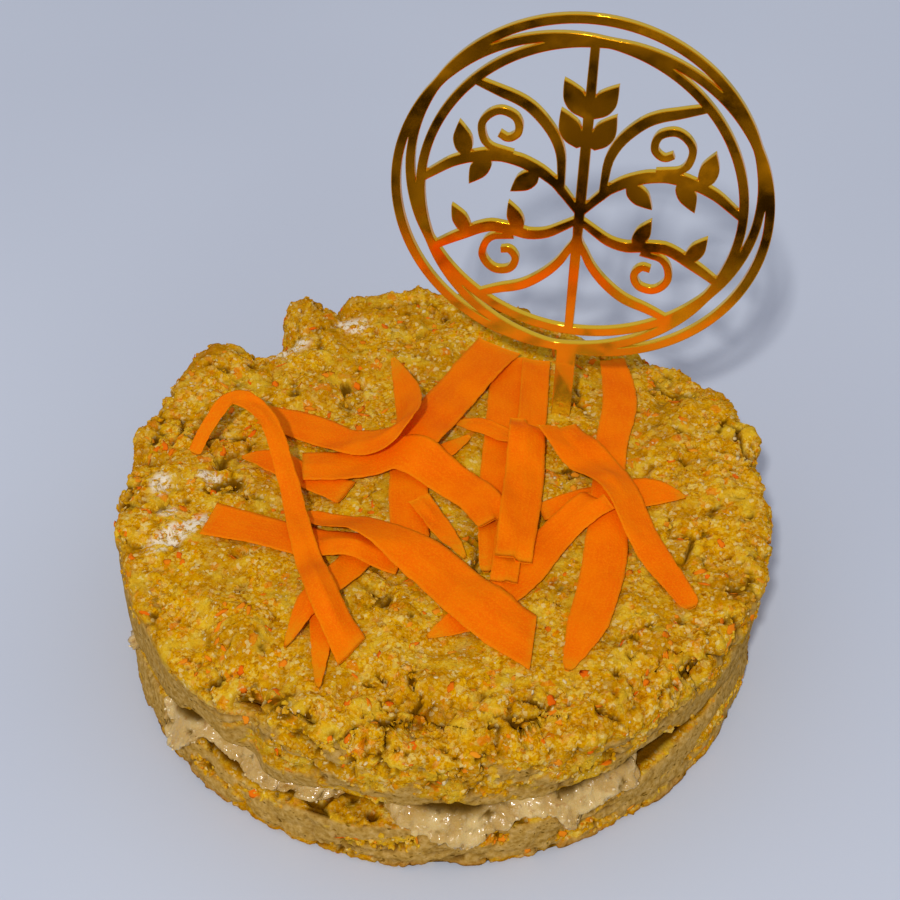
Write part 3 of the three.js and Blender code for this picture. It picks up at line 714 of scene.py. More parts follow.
def top_mesh():
    """The crust as a round grid, joined at its border to the rows of the side below it."""
    part, turn, faces, border = disc_grid(TOP_GRID)
    rim = rim_radius(turn)
    radius = part * (rim - rounding(turn))
    x, y = polar(radius, turn)
    crust = np.stack([x, y, top_height(radius, turn)], axis=1)
    rim = rim_radius(angles)
    brow = top_height(rim, angles)
    seam = seam_height(SEAM_RADIUS, angles)
    seam_edge = np.minimum(rim, SEAM_RADIUS + side_waver(angles, 9))
    stations = [
        (SEAM_CORE * SEAM_RADIUS + 0 * angles, seam_height(SEAM_CORE * SEAM_RADIUS, angles)),
        (seam_edge - SEAM_UNDERSIDE, seam),
        (seam_edge - SEAM_LIP, seam),
        (seam_edge, seam + SEAM_LIP_HEIGHT),
        (rim, brow - rounding(angles)),
    ]
    rows = fill_rows(stations[:2], UNDERSIDE_STEP)[:-1] + fill_rows(stations[1:], SIDE_STEP)
    for bend in np.radians(RIM_BENDS):
        rows.append((
            rim - rounding(angles) * (1 - math.cos(bend)),
            brow - rounding(angles) * (1 - math.sin(bend)),
        ))
    side = row_points(rows)
    start = len(crust)
    faces += [[start + corner for corner in face] for face in row_faces(len(rows))]
    last = start + len(side) - ROUND
    middle = start + len(side)
    for n in range(ROUND):
        after = (n + 1) % ROUND
        faces.append([last + n, last + after, border[after], border[n]])
        faces.append([middle, start + after, start + n])
    return np.vstack([crust, side, [[0, 0, SEAM_HEIGHT]]]), faces


def node_tree_of(names):
    """The named solids' faces together, for finding what lies over or under a point."""
    places = []
    triangles = []
    for name in names:
        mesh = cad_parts[name].data
        start = len(places)
        places += [vertex.co / MM for vertex in mesh.vertices]
        triangles += [[start + v for v in face.vertices] for face in mesh.polygons]
    return BVHTree.FromPolygons(places, triangles)


def block_height(point):
    """Broken blocks of crumb about a finger's width across, at the torn front edge."""
    place = Vector(point)
    near, far = noise.voronoi((place + noise.noise_vector(place / 6) * 2) / BLOCK_SIZE)[0][:2]
    return BLOCK_HEIGHT * min(0.5, far - near) - 0.9


def crust_relief(points, free):
    """Plates, ledges, ridges and pits of the torn crust; free is 1 away from what lies on it."""
    x, y, z = points.T
    radius = reach_of(points)
    angle = turn_of(points)
    on_top = ease(z, 46, 52)
    wander = np.array([noise.fractal(Vector(p) / 9, 0.9, 2.1, 4) for p in points.tolist()])
    spots = [Vector((p[0], p[1], 3)) / PLATE_SIZE for p in points.tolist()]
    plate = 2.4 * np.array([noise.fractal(spot, 1, 2, 3) for spot in spots]) + 0.25 * wander
    step = np.floor(plate) + ease(plate - np.floor(plate), 0.72, 1.0)
    relief = free * on_top * (PLATE_STEP * step + 0.4)
    broken = ease(angle, 234, 244) * ease(angle, 308, 294) * ease(radius, 72, 84) * ease(z, 36, 44)
    relief = relief + broken * np.array([block_height(p) for p in points.tolist()])
    back = share(angle, *RIDGED_BACK) * ease(radius, 70, 80) * on_top
    ridge = (radius + 2.5 * wander) / RIDGE_SPACING
    relief = relief + back * RIDGE_HEIGHT * (ease(1 - (ridge - np.floor(ridge)), 0.0, 0.7) - 0.6)
    for hole_x, hole_y, wide, deep in HOLES:
        away = np.hypot(x - hole_x, y - hole_y) + 1.4 * wander
        relief = relief - deep * on_top * (1 - ease(away, 0.45 * wide, wide))
    for turn, height, wide, deep in SIDE_HOLES:
        hole_x, hole_y = polar(rim_radius(turn), turn)
        away = np.sqrt((x - hole_x) ** 2 + (y - hole_y) ** 2 + 2.2 * (z - height) ** 2) + 2 * wander
        relief = relief - deep * (1 - ease(away, 0.4 * wide, wide))
    return relief


points, top_faces = top_mesh()
normals = normals_of(points, top_faces)
angle = turn_of(points)
radius = reach_of(points)
below_brow = top_height(rim_radius(angle), angle) - points[:, 2]
on_side = ease(reach_of(normals), 0.7, 0.95) * ease(below_brow, 0.5 * rounding(angle), 7)
ribbon_names = sorted(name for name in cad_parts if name.startswith("carrot_ribbon"))
ribbon_faces = node_tree_of(ribbon_names)
free = np.array([ribbon_faces.find_nearest(Vector(p))[3] for p in points.tolist()])
free = ease(free, 2.5, 9)
over_seam = points[:, 2] - seam_height(SEAM_RADIUS, angle)
hold = (0.4 + 0.3 * share(angle, *SKINNED_RIGHT)) * ease(over_seam, 13, 5)
hold = 1.1 * share(angle, *SKINNED_LEFT) - 0.35 + hold
skin = on_side * skin_left(points, hold)
crust = crust_relief(points, free)
rough = np.where(on_side > 0, CRUMB_ROUGHNESS, CRUST_ROUGHNESS + 0.2 * ease(radius, 66, 90))
rough = rough - SKIN_SMOOTHING * skin
rough = rough * (0.4 + 0.6 * free) * (0.3 + 0.7 * ease(over_seam, 1, 7))
rough = rough * (0.9 + 0.8 * share(angle, *CRUMBLED_FRONT) - 0.45 * share(angle, *SMOOTH_LEFT))
rough = rough * (1 + 0.4 * (1 - on_side) * share(angle, *CRUMBLED_BACK))
relief = crumb_relief(points, rough) + CREASE_DEPTH * on_side * crease_relief(points)
outward = crust + relief + SKIN_THICKNESS * skin - RIBBON_BED * (1 - free) - SIDE_INSET * on_side
top_points = points + normals * outward[:, None]
flour = np.zeros(len(points))
for spot_x, spot_y, long, wide, turn in FLOUR:
    cosine, sine = polar(1, turn)
    along = (points[:, 0] - spot_x) * cosine + (points[:, 1] - spot_y) * sine
    across = (points[:, 1] - spot_y) * cosine - (points[:, 0] - spot_x) * sine
    flour = np.maximum(flour, ease((along / long) ** 2 + (across / wide) ** 2, 1.6, 0.4))
flour = flour * ease(points[:, 2], 50, 53)
top_torn = np.maximum(ease(points[:, 2], 46, 52), on_side * (1 - skin) * ease(points[:, 2], 30, 33))
# Painted shade: cracks, pores and deep pits are darkened in the colour, and the side a little all over.
top_crumb = add_piece("top_crumb", top_points, top_faces, {
    "painted_shade": 1 - (1 - crevice_shade(relief + np.minimum(0, 0.4 * crust + 0.4))) * (1 - 0.1 * on_side),
    "skin": skin,
    "toast": 0.35 * ease(radius, 92, 99) * ease(points[:, 2], 44, 52) * share(angle, *TOASTED_BACK),
    "flour": flour,
}, crumb)
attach(top_crumb, "root")
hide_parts("top_layer")

# Loose bits: grains of meal, shreds of grated carrot and pale flecks of flour, and bits of nut in the paste.
# They were baked into the batter or ground into the paste and stick out where those are torn.
BIT_SEED = 41
# Sizes are half lengths, least and most. Shapes multiply them for length, width and thickness.
GRAIN_COUNT = 5200
GRAIN_SIZES = (0.4, 1.1)
GRAIN_SHAPES = ([0.9, 0.7, 0.45], [1.5, 1.1, 0.75])
SHRED_COUNT = 380
SHRED_SIZES = ([0.7, 0.5, 0.1], [2.3, 1.4, 0.22])
FLECK_COUNT = 1000
FLECK_LEAST = 0.26
FLECK_SPREAD = 0.22
FLECK_SPREAD_MOST = 0.5
FLECK_SHAPES = ([0.9, 0.6, 0.14], [1.6, 1.1, 0.32])
NUT_COUNT = 240
NUT_SIZES = (0.2, 0.55)
NUT_SHAPES = (0.7, 1.2)
UNEVENNESS = (0.6, 1.3)
TOP_TO_BASE = 9
RIBBON_CLEARANCE = 1.4


def spots_on(points, faces, weight, count, dice):
    """Random places on a surface clear of the ribbons, and the ways it faces there."""
    corners, (a, b, c, d) = corners_of(points, faces)
    facing = np.cross(c - a, d - b)
    size = np.linalg.norm(facing, axis=1)
    chance = size * weight[corners].mean(axis=1)
    picked = dice.choice(len(corners), count, p=chance / chance.sum())
    u, v = dice.random((2, count, 1))
    places = (a[picked] * (1 - u) + b[picked] * u) * (1 - v) + (d[picked] * (1 - u) + c[picked] * u) * v
    clear = [ribbon_faces.find_nearest(Vector(place))[3] > RIBBON_CLEARANCE for place in places.tolist()]
    return places[clear], (facing[picked] / size[picked, None])[clear]


def strew(name, places, facing, sizes, fineness, material, dice):
    """Small uneven lumps lying in a surface, sizes being half their length, width and thickness."""
    ball = bmesh.new()
    bmesh.ops.create_icosphere(ball, subdivisions=fineness, radius=1)
    shape = np.array([vertex.co[:] for vertex in ball.verts])
    triangles = np.array([[vertex.index for vertex in face.verts] for face in ball.faces])
    ball.free()
    count = len(places)
    local = shape[None] * dice.uniform(*UNEVENNESS, (count, len(shape), 1)) * sizes[:, None, :]
    side = np.cross(facing, dice.normal(size=(count, 3)))
    side = side / np.linalg.norm(side, axis=1, keepdims=True)
    axes = np.stack([side, np.cross(facing, side), facing], axis=1)
    points = (places[:, None] + local @ axes).reshape(-1, 3)
    faces = (triangles[None] + len(shape) * np.arange(count)[:, None, None]).reshape(-1, 3).tolist()
    tone = np.repeat(dice.random(count), len(shape))
    piece = add_piece(name, points, faces, {"tone": tone}, material)
    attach(piece, "root")
    return piece


def bit_finish(name, stops):
    """Small bits, each of one colour picked from the stops."""
    material, tree, shader = new_finish(name)
    tree.links.new(ramp(tree, mask_of(tree, "tone"), stops), shader.inputs["Base Color"])
    shader.inputs["Roughness"].default_value = 0.8
    shader.inputs["Specular IOR Level"].default_value = 0.06
    return material


def spots_on_crumb(count, dice):
    """Random places on the torn crumb of both layers, seldom in the flour, and the ways it faces there."""
    on_top, top_facing = spots_on(top_points, top_faces, top_torn * (1 - 0.9 * flour), count, dice)
    on_base, base_facing = spots_on(base_points, base_faces, base_torn, count // TOP_TO_BASE, dice)
    return np.vstack([on_top, on_base]), np.vstack([top_facing, base_facing])


dice = np.random.default_rng(BIT_SEED)
places, facing = spots_on_crumb(GRAIN_COUNT, dice)
sizes = dice.uniform(*GRAIN_SIZES, (len(places), 1)) * dice.uniform(*GRAIN_SHAPES, (len(places), 3))
grain_bits = strew("crumb_grains", places, facing, sizes, 1, crumb, dice)
grain_bits.data.shade_flat()

places, facing = spots_on_crumb(SHRED_COUNT, dice)
sizes = dice.uniform(*SHRED_SIZES, (len(places), 3))
shred_finish = bit_finish("carrot_shred", [
    (0.0, paint(232, 100, 4)),
    (0.5, paint(234, 122, 10)),
    (1.0, paint(232, 146, 26)),
])
shred_bits = strew("carrot_shreds", places, facing, sizes, 2, shred_finish, dice)

places, facing = spots_on(top_points, top_faces, top_torn * (0.4 + 9 * flour), FLECK_COUNT, dice)
sizes = FLECK_LEAST + np.minimum(FLECK_SPREAD_MOST, dice.exponential(FLECK_SPREAD, (len(places), 1)))
sizes = sizes * dice.uniform(*FLECK_SHAPES, (len(places), 3))
fleck_finish = bit_finish("pale_fleck", [
    (0.0, paint(212, 178, 100)),
    (1.0, paint(226, 204, 154)),
])
fleck_bits = strew("pale_flecks", places, facing, sizes, 1, fleck_finish, dice)

paste_shown = (1 - paste_gap_shade) * ease(behind_edge, 5, 3)
places, facing = spots_on(paste_points, paste_faces, paste_shown, NUT_COUNT, dice)
sizes = dice.uniform(*NUT_SIZES, (len(places), 1)) * dice.uniform(*NUT_SHAPES, (len(places), 3))
nut_finish = bit_finish("nut_bit", [
    (0.0, paint(216, 178, 106)),
    (1.0, paint(244, 222, 176)),
])
nut_bits = strew("nut_bits", places, facing, sizes, 2, nut_finish, dice)

# Carrot ribbons: long strips peeled from a raw carrot and dropped across the crust, some curled.
# They are thin and moist, with fine fibres along them; their thin edges and tips are painted paler and
# yellower, standing in for light and crumb showing through them.
RIBBON_STEP = 0.9
RIBBON_COLUMNS = 15
RIBBON_THICKNESS = 0.7
RIBBON_EDGE = 0.25
RIBBON_END = 3.5
# Each ribbon from the lowest to the topmost: places along its middle and its width there.
RIBBONS = [
    [(-36, -34, 7), (-34, -61, 6), (-34, -79, 1.5)],
    [(-44, -64, 1.5), (-37, -48, 8), (-28, -36, 9), (-23, -27, 9)],
    [(-62, 14, 2), (-53, 13, 10), (-44, 8, 10), (-29, -1, 10)],
    [(-10, 14, 12), (-10, -5, 12), (-9, -26, 11)],
    [(-11, 9, 8), (0, 15, 7), (9, 23, 2)],
    [(-7, -5, 7), (0, -18, 7), (7, -30, 1.5)],
    [(30, -10, 7), (48, -5, 10), (61, -3, 12), (74, -5, 2)],
    [(56, 61, 8), (57, 40, 11), (53, 19, 10), (51, 1, 10), (48, -30, 13), (42, -54, 12), (35, -72, 3)],
    [(22, 62, 11), (19, 25, 11), (15, -6, 8), (13, -35, 4)],
    [(48, -9, 12), (35, -19, 11), (23, -37, 11), (8, -52, 10), (-4, -60, 1.5)],
    [(31, 60, 9), (28, 25, 9), (22, -11, 9), (18, -40, 8)],
    [(3, 30, 1.5), (12, 27, 6), (23, 19, 5)],
    [(19, 67, 16), (4, 42, 15), (-9, 17, 15)],
    [(-43, 10, 13), (-28, 11, 14), (-14, 13, 13), (0, 5, 13), (10, -4, 12), (16, -16, 11)],
    [(-70, -13, 14), (-57, -17, 13), (-42, -22, 13), (-27, -27, 11), (-12, -31, 11)],
    [(-57, 34, 9), (-41, 28, 13), (-29, 21, 12), (-18, 17, 11), (-11, 24, 8), (-11, 38, 8), (-16, 60, 2)],
    [(27, 26, 11), (25, 0, 12), (21, -32, 11)],
    [(36, 25, 15), (48, 5, 13), (61, -25, 10), (72, -49, 6)],
    [(-41, -11, 6), (-24, -19, 12), (-6, -31, 15), (11, -50, 17), (26, -62, 18)],
    [(-77, 15, 5), (-73, 20, 5), (-65, 27, 6), (-55, 20, 6), (-47, 0, 6), (-41, -25, 7), (-34, -48, 9),
     (-25, -66, 11)],
]
# Ribbons whose last end is cut on the slant.
RIBBON_SKEW = {19: -0.6, 20: -0.5}
LEAST_ROWS = 24
LEAST_WIDTH = 1.2
RAGGED_SIZE = 3.5
ABOVE_ALL = 120
INWARD_STEPS = (0, 0.04, 0.08, 0.15, 0.3, 0.6, 0.95)
EASING = (1, 2, 3, 2, 1)
EASING_PASSES = 3
EDGE_LIFT = 0.5
FIBRE_SPREAD = 6
FIBRE_SHIFT = 40.0


def smooth_line(points, parts):
    """Places on a smooth line through the points, at parts of it from 0 to 1."""
    points = np.array(points, float)
    points = np.vstack([2 * points[0] - points[1], points, 2 * points[-1] - points[-2]])
    spans = len(points) - 3
    places = []
    for part in parts:
        n = min(int(part * spans), spans - 1)
        w = part * spans - n
        p0, p1, p2, p3 = points[n:n + 4]
        gap1 = np.sum((p2 - p1) ** 2) ** 0.25
        gap1 = gap1 if gap1 > 1e-4 else 1.0
        gap0 = np.sum((p1 - p0) ** 2) ** 0.25
        gap0 = gap0 if gap0 > 1e-4 else gap1
        gap2 = np.sum((p3 - p2) ** 2) ** 0.25
        gap2 = gap2 if gap2 > 1e-4 else gap1
        leave = gap1 * ((p1 - p0) / gap0 - (p2 - p0) / (gap0 + gap1) + (p2 - p1) / gap1)
        reach = gap1 * ((p2 - p1) / gap1 - (p3 - p1) / (gap1 + gap2) + (p3 - p2) / gap2)
        places.append(
            p1 * (2 * w ** 3 - 3 * w ** 2 + 1) + leave * (w ** 3 - 2 * w ** 2 + w)
            + p2 * (3 * w ** 2 - 2 * w ** 3) + reach * (w ** 3 - w ** 2)
        )
    return np.array(places)


def height_on(solid, x, y, middle_x, middle_y):
    """Height of a ribbon's upper face, taken nearer its middle where the edge is just missed."""
    for inward in INWARD_STEPS:
        spot = Vector((x + inward * (middle_x - x), y + inward * (middle_y - y), ABOVE_ALL))
        hit = solid.ray_cast(spot, Vector((0, 0, -1)))[0]
        if hit:
            return hit.z
    return TOP_HEIGHT + RIBBON_THICKNESS


def ribbon_sheet(number, path):
    """Points of a ribbon's upper face in rows across it, lying where its solid lies."""
    length = float(np.sum(np.hypot(*np.diff(np.array(path)[:, :2], axis=0).T)))
    rows = max(LEAST_ROWS, round(length / RIBBON_STEP))
    parts = np.linspace(0, 1, rows)
    middle = smooth_line([(x, y) for x, y, width in path], parts)
    width = smooth_line([(width, 0, 0) for x, y, width in path], parts)[:, 0]
    along = np.gradient(middle, axis=0)
    along = along / np.linalg.norm(along, axis=1, keepdims=True)
    half = np.maximum(width, LEAST_WIDTH) / 2
    slant = RIBBON_SKEW.get(number, 0) * half * ease(parts, 0.7, 1)
    for end, from_end in ((half[0], parts * length), (half[-1], (1 - parts) * length)):
        if end < RIBBON_END:
            half = half * np.sqrt(1 - 0.75 * np.clip(1 - from_end / RIBBON_END, 0, 1) ** 2)
    solid = node_tree_of([ribbon_names[number - 1]])
    sides = np.linspace(1, -1, RIBBON_COLUMNS)
    sheet = np.zeros((rows, RIBBON_COLUMNS, 3))
    for row in range(rows):
        for column, side in enumerate(sides):
            spot = Vector((parts[row] * length / RAGGED_SIZE, 4 * side, 5.0 * number))
            ragged = 0.3 * noise.noise(spot) + 0.2 * noise.noise(spot * 4)
            reach = side * (half[row] + abs(side) ** 3 * ragged)
            x = middle[row, 0] - reach * along[row, 1] + side * slant[row] * along[row, 0]
            y = middle[row, 1] + reach * along[row, 0] + side * slant[row] * along[row, 1]
            sheet[row, column] = x, y, height_on(solid, x, y, *middle[row])
    for _ in range(EASING_PASSES):
        padded = np.pad(sheet[:, :, 2], ((2, 2), (0, 0)), mode="edge")
        sheet[:, :, 2] = sum(part * padded[n:n + rows] for n, part in enumerate(EASING)) / sum(EASING)
    return sheet, parts * length, sides, half


def curl_edges(sheet, number, sides):
    """Lifts loose edges a little where no other ribbon holds them down."""
    for row in range(len(sheet)):
        for column, side in enumerate(sides):
            spot = Vector(sheet[row, column])
            over = ribbon_faces.ray_cast(spot + Vector((0, 0, 0.3)), Vector((0, 0, 1)), 6)[0]
            loose = 0.0 if over else 0.5 + 0.5 * noise.noise(Vector((row / 14, 3 * side, 9.0 * number)))
            sheet[row, column, 2] += EDGE_LIFT * loose * abs(side) ** 3
    return sheet


def carrot_finish():
    """Peeled carrot: deep orange flesh with faint lengthwise fibres, its thin edges painted yellower for
    light shining through.
    """
    material, tree, shader = new_finish("carrot_flesh")
    weave = node(tree, "CombineXYZ", {"X": mask_of(tree, "along"), "Y": mask_of(tree, "across")}).outputs[0]
    stretched = vector_step(tree, "MULTIPLY", weave, (0.08, 1.0, 1.0))
    fibre = node(tree, "TexNoise", {"Vector": stretched, "Scale": 1.3, "Detail": 3.0}).outputs["Fac"]
    flesh = blend(tree, band(tree, cloud(tree, 12, 2), 0.35, 0.65), paint(241, 104, 0), paint(247, 116, 0))
    flesh = blend(tree, band(tree, fibre, 0.4, 0.65, 0, 0.18), flesh, paint(252, 134, 0))
    flesh = blend(tree, band(tree, cloud(tree, 0.6, 2), 0.45, 0.7, 0, 0.45), flesh, paint(252, 136, 6))
    # Painted see-through light: thin edges and tips are tinted yellower.
    see_through = times(tree, mask_of(tree, "edge"), band(tree, cloud(tree, 2.4, 3), 0.3, 0.6, 0.35, 0.9))
    flesh = blend(tree, see_through, flesh, paint(226, 142, 10))
    tree.links.new(flesh, shader.inputs["Base Color"])
    shader.inputs["Roughness"].default_value = 0.7
    shader.inputs["Specular IOR Level"].default_value = 0.03
    shader.inputs["Subsurface Weight"].default_value = 0.15
    shader.inputs["Subsurface Radius"].default_value = (0.0015, 0.0008, 0.0002)
    tree.links.new(bump(tree, cloud(tree, 0.7, 3), 0.5, 0.3), shader.inputs["Normal"])
    return material


def sheet_faces(rows, columns, upper, lower):
    """Faces of a thin closed strip between an upper and a lower grid of points."""
    made = []
    for row in range(rows - 1):
        for column in range(columns - 1):
            a = row * columns + column
            b, c, d = a + 1, a + columns + 1, a + columns
            made.append([upper + d, upper + c, upper + b, upper + a])
            made.append([lower + a, lower + b, lower + c, lower + d])
        for column, turned in ((0, False), (columns - 1, True)):
            a = row * columns + column
            wall = [upper + a, lower + a, lower + a + columns, upper + a + columns]
            made.append(wall[::-1] if turned else wall)
    for column in range(columns - 1):
        for row, turned in ((0, True), (rows - 1, False)):
            a = row * columns + column
            wall = [upper + a, lower + a, lower + a + 1, upper + a + 1]
            made.append(wall if turned else wall[::-1])
    return made


carrot = carrot_finish()
for number, path in enumerate(RIBBONS, start=1):
    sheet, along, sides, half = ribbon_sheet(number, path)
    sheet = curl_edges(sheet, number, sides)
    rows, columns = sheet.shape[:2]
    thick = RIBBON_EDGE + (RIBBON_THICKNESS - RIBBON_EDGE) * (1 - np.abs(sides) ** 4)
    under = sheet - np.stack([0 * sides, 0 * sides, thick], axis=1)[None]
    points = np.concatenate([sheet.reshape(-1, 3), under.reshape(-1, 3)])
    count = rows * columns
    from_end = np.minimum(along, along[-1] - along)
    # Painted see-through light: ends and narrow tips get the yellower edge tint.
    thin_end = np.maximum(ease(half, 3.6, 1), 0.6 * ease(from_end, RIBBON_END, 0))
    edge = np.maximum(0.5 * ease(np.abs(sides), 0.8, 1)[None], thin_end[:, None])
    across = np.broadcast_to(sides * FIBRE_SPREAD, (rows, columns)).ravel() + FIBRE_SHIFT * number
    ribbon = add_piece(f"ribbon_{number:02d}", points, sheet_faces(rows, columns, 0, count), {
        "along": np.tile(np.repeat(along, columns), 2),
        "across": np.tile(across, 2),
        "edge": np.tile(edge.ravel(), 2),
    }, carrot)
    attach(ribbon, "root")
    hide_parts(ribbon_names[number - 1])

# Ring ornament: three interlaced rings round a tree of scrolls, cut from one sheet of gold mirror acrylic.
# The cut edges are plain and bright, and the flat stem is pushed down into the crumb.
SHEET_THICKNESS = 2.0
SHARP_TURN = math.radians(35)
SHARP_EDGE = math.radians(28)
EDGE_EASING = 0.5
RED_START = 85
RED_END = 120
OUTLINE_FINENESS = 3
NEAREST_POINTS = 0.15
SAME_POINT = 0.01
SAME_WAY = 0.999


def gold_finish():
    """Gold mirror film: a clear reflection with faint rubbing and eased edges; the tint is painted paler low
    down and redder towards the top, and lighter on faces that look up, to set the colour of its reflections.
    """
    material, tree, shader = new_finish("gold_mirror")
    height = node(tree, "SeparateXYZ", {"Vector": place_on(tree)}).outputs["Z"]
    # Painted reflection: low down, where the gold reflects the orange ribbons, it is tinted paler and made
    # less metallic; it is redder higher up.
    redder = band(tree, height, RED_START * MM, RED_END * MM)
    gold = blend(tree, redder, paint(236, 196, 36), paint(252, 164, 14))
    tree.links.new(band(tree, height, RED_START * MM, RED_END * MM, 0.8, 1.0), shader.inputs["Metallic"])
    # Painted highlight: faces that look up are tinted a lighter gold.
    facing = node(tree, "NewGeometry", {}).outputs["True Normal"]
    upward = node(tree, "SeparateXYZ", {"Vector": facing}).outputs["Z"]
    gold = blend(tree, band(tree, upward, 0.3, 0.6), gold, paint(255, 206, 36))
    tree.links.new(gold, shader.inputs["Base Color"])
    eased = node(tree, "Bevel", {"Radius": EDGE_EASING * MM}, samples=6).outputs["Normal"]
    tree.links.new(eased, shader.inputs["Normal"])
    tree.links.new(band(tree, cloud(tree, 6, 4), 0.3, 0.7, 0.06, 0.16), shader.inputs["Roughness"])
    return material


def outline_loops(solid):
    """The outlines of a flat sheet's front face, as closed loops of points, and the way it faces."""
    sheet = bmesh.new()
    sheet.from_mesh(solid.data)
    bmesh.ops.remove_doubles(sheet, verts=sheet.verts, dist=SAME_POINT * MM)
    sheet.normal_update()
    facing = max(sheet.faces, key=lambda face: face.calc_area() * (face.normal.y < 0)).normal.copy()
    front = {face for face in sheet.faces if face.normal.dot(facing) > SAME_WAY}
    border = [edge for edge in sheet.edges if len(front.intersection(edge.link_faces)) == 1]
    after = {}
    for edge in border:
        near, far = edge.verts
        after.setdefault(near, []).append(far)
        after.setdefault(far, []).append(near)
    loops = []
    while after:
        loop = [next(iter(after))]
        while after.get(loop[-1]):
            following = after[loop[-1]].pop()
            after[following].remove(loop[-1])
            loop.append(following)
        after = {point: rest for point, rest in after.items() if rest}
        loops.append([point.co.copy() for point in loop[:-1]])
    sheet.free()
    return loops, facing


def finer_loop(loop):
    """A closed outline with points added along its smooth parts; sharp corners stay as they are."""
    loop = [point for n, point in enumerate(loop) if (point - loop[n - 1]).length > NEAREST_POINTS]
    count = len(loop)
    sharp = []
    for n, point in enumerate(loop):
        if (point - loop[n - 1]).angle(loop[(n + 1) % count] - point) > SHARP_TURN:
            sharp.append(n)
    if not sharp:
        parts = (2 + np.arange(count * OUTLINE_FINENESS) / OUTLINE_FINENESS) / (count + 4)
        return smooth_line(loop[-2:] + loop + loop[:3], parts)
    runs = []
    for n, first in enumerate(sharp):
        steps = (sharp[(n + 1) % len(sharp)] - first) % count or count
        run = [loop[(first + step) % count] for step in range(steps + 1)]
        runs.append(smooth_line(run, np.arange(steps * OUTLINE_FINENESS) / (steps * OUTLINE_FINENESS)))
    return np.concatenate(runs)


def inside(places, near, far):
    """Which places are in the sheet: a line to the right crosses its outlines an odd number of times."""
    x, y = places[:, :1], places[:, 1:]
    spans = (near[:, 1] > y) != (far[:, 1] > y)
    rise = np.where(near[:, 1] == far[:, 1], 1, far[:, 1] - near[:, 1])
    crossing = near[:, 0] + (far[:, 0] - near[:, 0]) * (y - near[:, 1]) / rise
    return np.count_nonzero(spans & (crossing > x), axis=1) % 2 == 1


def sheet_mesh(loops, facing):
    """A flat sheet of one thickness inside smooth outlines, as points and faces."""
    rightward = Vector((0, 0, 1)).cross(facing).normalized()
    upward = facing.cross(rightward)
    start = loops[0][0]
    outline = []
    edges = []
    for loop in loops:
        steps = [point - start for point in loop]
        flat = finer_loop([Vector((step.dot(rightward), step.dot(upward))) / MM for step in steps])
        first = len(outline)
        outline += [Vector(point) for point in flat.tolist()]
        edges += [(first + n, first + (n + 1) % len(flat)) for n in range(len(flat))]
    flat, _, front = geometry.delaunay_2d_cdt(outline, edges, [], 0, 1e-4, False)[:3]
    middles = np.array(flat)[np.array(front)].mean(axis=1)
    near, far = np.array(outline)[np.array(edges).T]
    front = [face for face, kept in zip(front, inside(middles, near, far)) if kept]
    count = len(flat)
    sides = {(face[n - 1], face[n]) for face in front for n in range(len(face))}
    faces = [list(face) for face in front] + [[count + n for n in reversed(face)] for face in front]
    faces += [[b, a, count + a, count + b] for a, b in sorted(sides) if (b, a) not in sides]
    face_points = [start / MM + rightward * p.x + upward * p.y for p in flat]
    points = face_points + [point - facing * SHEET_THICKNESS for point in face_points]
    return np.array(points), faces


points, faces = sheet_mesh(*outline_loops(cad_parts["ring_ornament"]))
ring_sheet = add_piece("ring_sheet", points, faces, {}, gold_finish())
ring_sheet.data.set_sharp_from_angle(angle=SHARP_EDGE)
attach(ring_sheet, "root")
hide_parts("ring_ornament")

# Floor, light and camera: a pale plain table top, one soft key light from the front and an even sky.
# A dark card lies in front of the cake and shows only as a reflection in the gold.
FLOOR_HALF = 3.0
FLOOR_DROP = -0.0002
KEY_PLACE = Vector((-0.32, -1.44, 1.68))
KEY_AIM = Vector((0, 0.02, 0.04))
KEY_SIZE = 0.1
KEY_POWER = 25
SKY_STRENGTH = 0.57
SKY_COLOUR = paint(236, 240, 255)
CARD_NEAR = -0.15
CARD_FAR = -0.75
CARD_HALF = 0.5
CARD_HEIGHT = 0.001
VIEW_DISTANCE = 0.65
VIEW_ELEVATION = math.radians(43.26)
VIEW_TARGET = Vector((0.00121, 0.04817, 0.030))
VIEW_LENS = 78.12
VIEW_SENSOR = 36
VIEW_SHIFT_X = 0.005
VIEW_SHIFT_Y = -0.0044


def level_piece(name, half, near, far, height, material):
    """A level rectangle, half being half its width from left to right."""
    corners = [(-half, near, height), (half, near, height), (half, far, height), (-half, far, height)]
    mesh = bpy.data.meshes.new(name)
    mesh.from_pydata(corners, [], [(0, 1, 2, 3)])
    mesh.materials.append(material)
    piece = bpy.data.objects.new(name, mesh)
    bpy.context.scene.collection.objects.link(piece)
    return piece


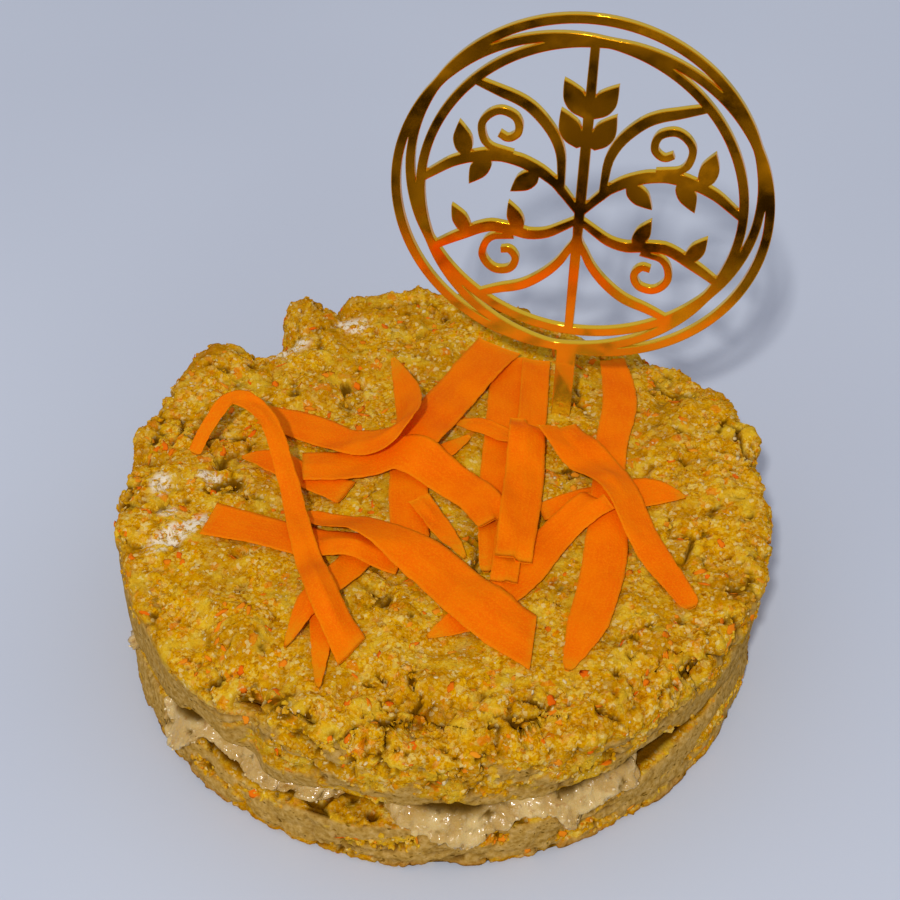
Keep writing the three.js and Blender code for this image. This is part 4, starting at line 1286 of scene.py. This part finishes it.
material, tree, shader = new_finish("table_top")
pale = blend(tree, band(tree, cloud(tree, 400, 2), 0.3, 0.7), paint(196, 201, 211), paint(204, 209, 218))
tree.links.new(pale, shader.inputs["Base Color"])
shader.inputs["Roughness"].default_value = 1.0
shader.inputs["Specular IOR Level"].default_value = 0.0
table_top = level_piece("table_top", FLOOR_HALF, -FLOOR_HALF, FLOOR_HALF, 0, material)
table_top.location.z = FLOOR_DROP

material, tree, shader = new_finish("dark_card")
shade = band(tree, cloud(tree, 90, 1), 0.45, 0.7)
tree.links.new(blend(tree, shade, paint(34, 32, 30), paint(190, 186, 176)), shader.inputs["Base Color"])
shader.inputs["Roughness"].default_value = 1.0
shader.inputs["Specular IOR Level"].default_value = 0.0
dark_card = level_piece("dark_card", CARD_HALF, CARD_FAR, CARD_NEAR, CARD_HEIGHT, material)
dark_card.visible_camera = False
dark_card.visible_diffuse = False
dark_card.visible_shadow = False
dark_card.visible_transmission = False

key_data = bpy.data.lights.new("key", "AREA")
key_data.size = KEY_SIZE
key_data.energy = KEY_POWER
key = bpy.data.objects.new("key", key_data)
key.location = KEY_PLACE
key.rotation_euler = (KEY_AIM - KEY_PLACE).to_track_quat("-Z", "Y").to_euler()
bpy.context.scene.collection.objects.link(key)

world = bpy.data.worlds.new("sky")
bpy.context.scene.world = world
world.use_nodes = True
sky = world.node_tree.nodes["Background"]
sky.inputs["Color"].default_value = SKY_COLOUR
sky.inputs["Strength"].default_value = SKY_STRENGTH
bpy.context.scene.view_settings.view_transform = "Standard"

camera_data = bpy.data.cameras.new("camera")
camera_data.sensor_width = VIEW_SENSOR
camera_data.lens = VIEW_LENS
camera_data.shift_x = VIEW_SHIFT_X
camera_data.shift_y = VIEW_SHIFT_Y
camera = bpy.data.objects.new("camera", camera_data)
forward = Vector((0, math.cos(VIEW_ELEVATION), -math.sin(VIEW_ELEVATION)))
camera.location = VIEW_TARGET - VIEW_DISTANCE * forward
camera.rotation_euler = (math.pi / 2 - VIEW_ELEVATION, 0, 0)
bpy.context.scene.collection.objects.link(camera)
bpy.context.scene.camera = camera
